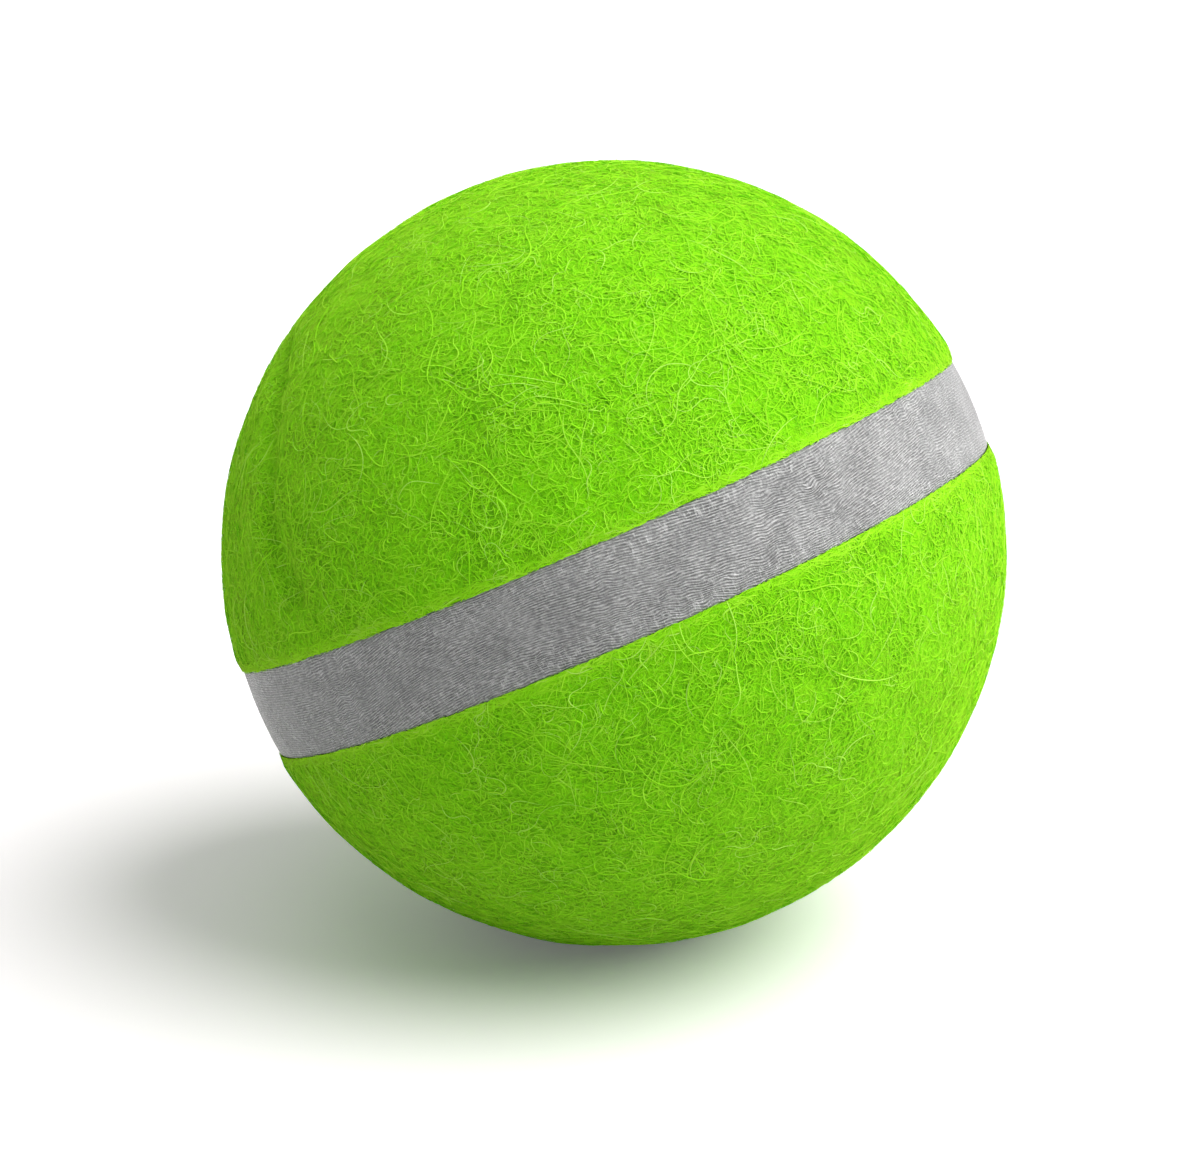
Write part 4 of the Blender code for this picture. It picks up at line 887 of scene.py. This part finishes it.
def set_light():
    """A white studio with soft lamps."""
    scene = bpy.context.scene
    scene.view_settings.view_transform = "Standard"
    world = bpy.data.worlds.new("studio")
    world.use_nodes = True
    studio = Nodes(world.node_tree)
    studio.tree.nodes.clear()
    dome = studio.node("ShaderNodeBackground", None, {"Color": DOME_COLOUR, "Strength": DOME_STRENGTH})
    white = studio.node("ShaderNodeBackground", None, {"Color": WHITE, "Strength": 1.0})
    sky = studio.node("ShaderNodeMixShader", None, [studio.seen(), dome, white])
    studio.node("ShaderNodeOutputWorld", None, {"Surface": sky})
    scene.world = world

    right = Vector((math.cos(CAMERA_TURN), math.sin(CAMERA_TURN), 0.0))
    front = Vector((math.sin(CAMERA_TURN), -math.cos(CAMERA_TURN), 0.0))
    for name, way, height, spread, strength in LAMPS:
        data = bpy.data.lights.new(name, "SUN")
        data.energy = strength
        data.angle = math.radians(spread)
        data.color = LAMP_COLOUR
        way, height = math.radians(way), math.radians(height)
        level = right * math.cos(way) + front * math.sin(way)
        towards = level * math.cos(height) + Vector((0, 0, math.sin(height)))
        lamp = bpy.data.objects.new(name, data)
        lamp.rotation_euler = towards.to_track_quat("Z", "Y").to_euler()
        lamp.location = BALL_CENTRE + towards
        bpy.context.collection.objects.link(lamp)


def lay_floor():
    """White paper that keeps the ball's shadow."""
    bm = bmesh.new()
    bmesh.ops.create_grid(bm, x_segments=8, y_segments=8, size=FLOOR_HALF)
    mesh = bpy.data.meshes.new("studio_floor")
    bm.to_mesh(mesh)
    bm.free()
    floor = bpy.data.objects.new("studio_floor", mesh)
    bpy.context.collection.objects.link(floor)
    paper = Finish("white_paper")
    seen = paper.seen()
    paper.set(
        Base_Color=paper.mix(seen, FLOOR_COLOUR, FLOOR_SEEN),
        Roughness=0.95,
        Specular_IOR_Level=0.0,
    )
    glow = paper.node("ShaderNodeEmission", None, {"Color": WHITE, "Strength": 1.0})
    lit = Value(paper, paper.shader.outputs[0])
    sheet = paper.node("ShaderNodeMixShader", None, [seen * FLOOR_GLOW, lit, glow])
    paper.feed(paper.tree.nodes["Material Output"].inputs["Surface"], sheet)
    mesh.materials.append(paper.material)


# Making

set_camera()
set_light()
lay_floor()
ground = felt_ground_finish()
nap = nap_finish()
for cover, side, body in (("upper_felt", 1, "upper_half"), ("lower_felt", -1, "lower_half")):
    felt_cover(cover + "_ground", side, body, cover)
    # Each lower layer gets darker shades than the one above it: painted shade deeper in the nap.
    for layer, brightness in ((1, 0.34), (2, 0.46), (3, 0.58)):
        lay_fibres(
            f"{cover}_nap_{layer}",
            side,
            body,
            count=19500,
            segments=5,
            length=(0.0009, 0.0038),
            width=(0.00006, 0.00011),
            rise=(-0.00015 + 0.00004 * layer, -0.00004 + 0.00004 * layer),
            bend=2.4,
            wave=0.6,
            brightness=brightness,
        )
    lay_fibres(
        f"{cover}_wisps",
        side,
        body,
        count=2600,
        segments=14,
        length=(0.0040, 0.0130),
        width=(0.00006, 0.00010),
        rise=(0.00002, 0.00010),
        bend=1.8,
        wave=0.7,
        brightness=0.74,
    )
    lay_fibres(
        f"{cover}_edge_fibres",
        side,
        body,
        count=1700,
        segments=8,
        length=(0.0014, 0.0048),
        width=(0.00007, 0.00012),
        rise=(-0.00010, 0.00004),
        bend=0.7,
        wave=0.3,
        brightness=0.55,
        over_edge=True,
    )
make_band()
dress_inside()
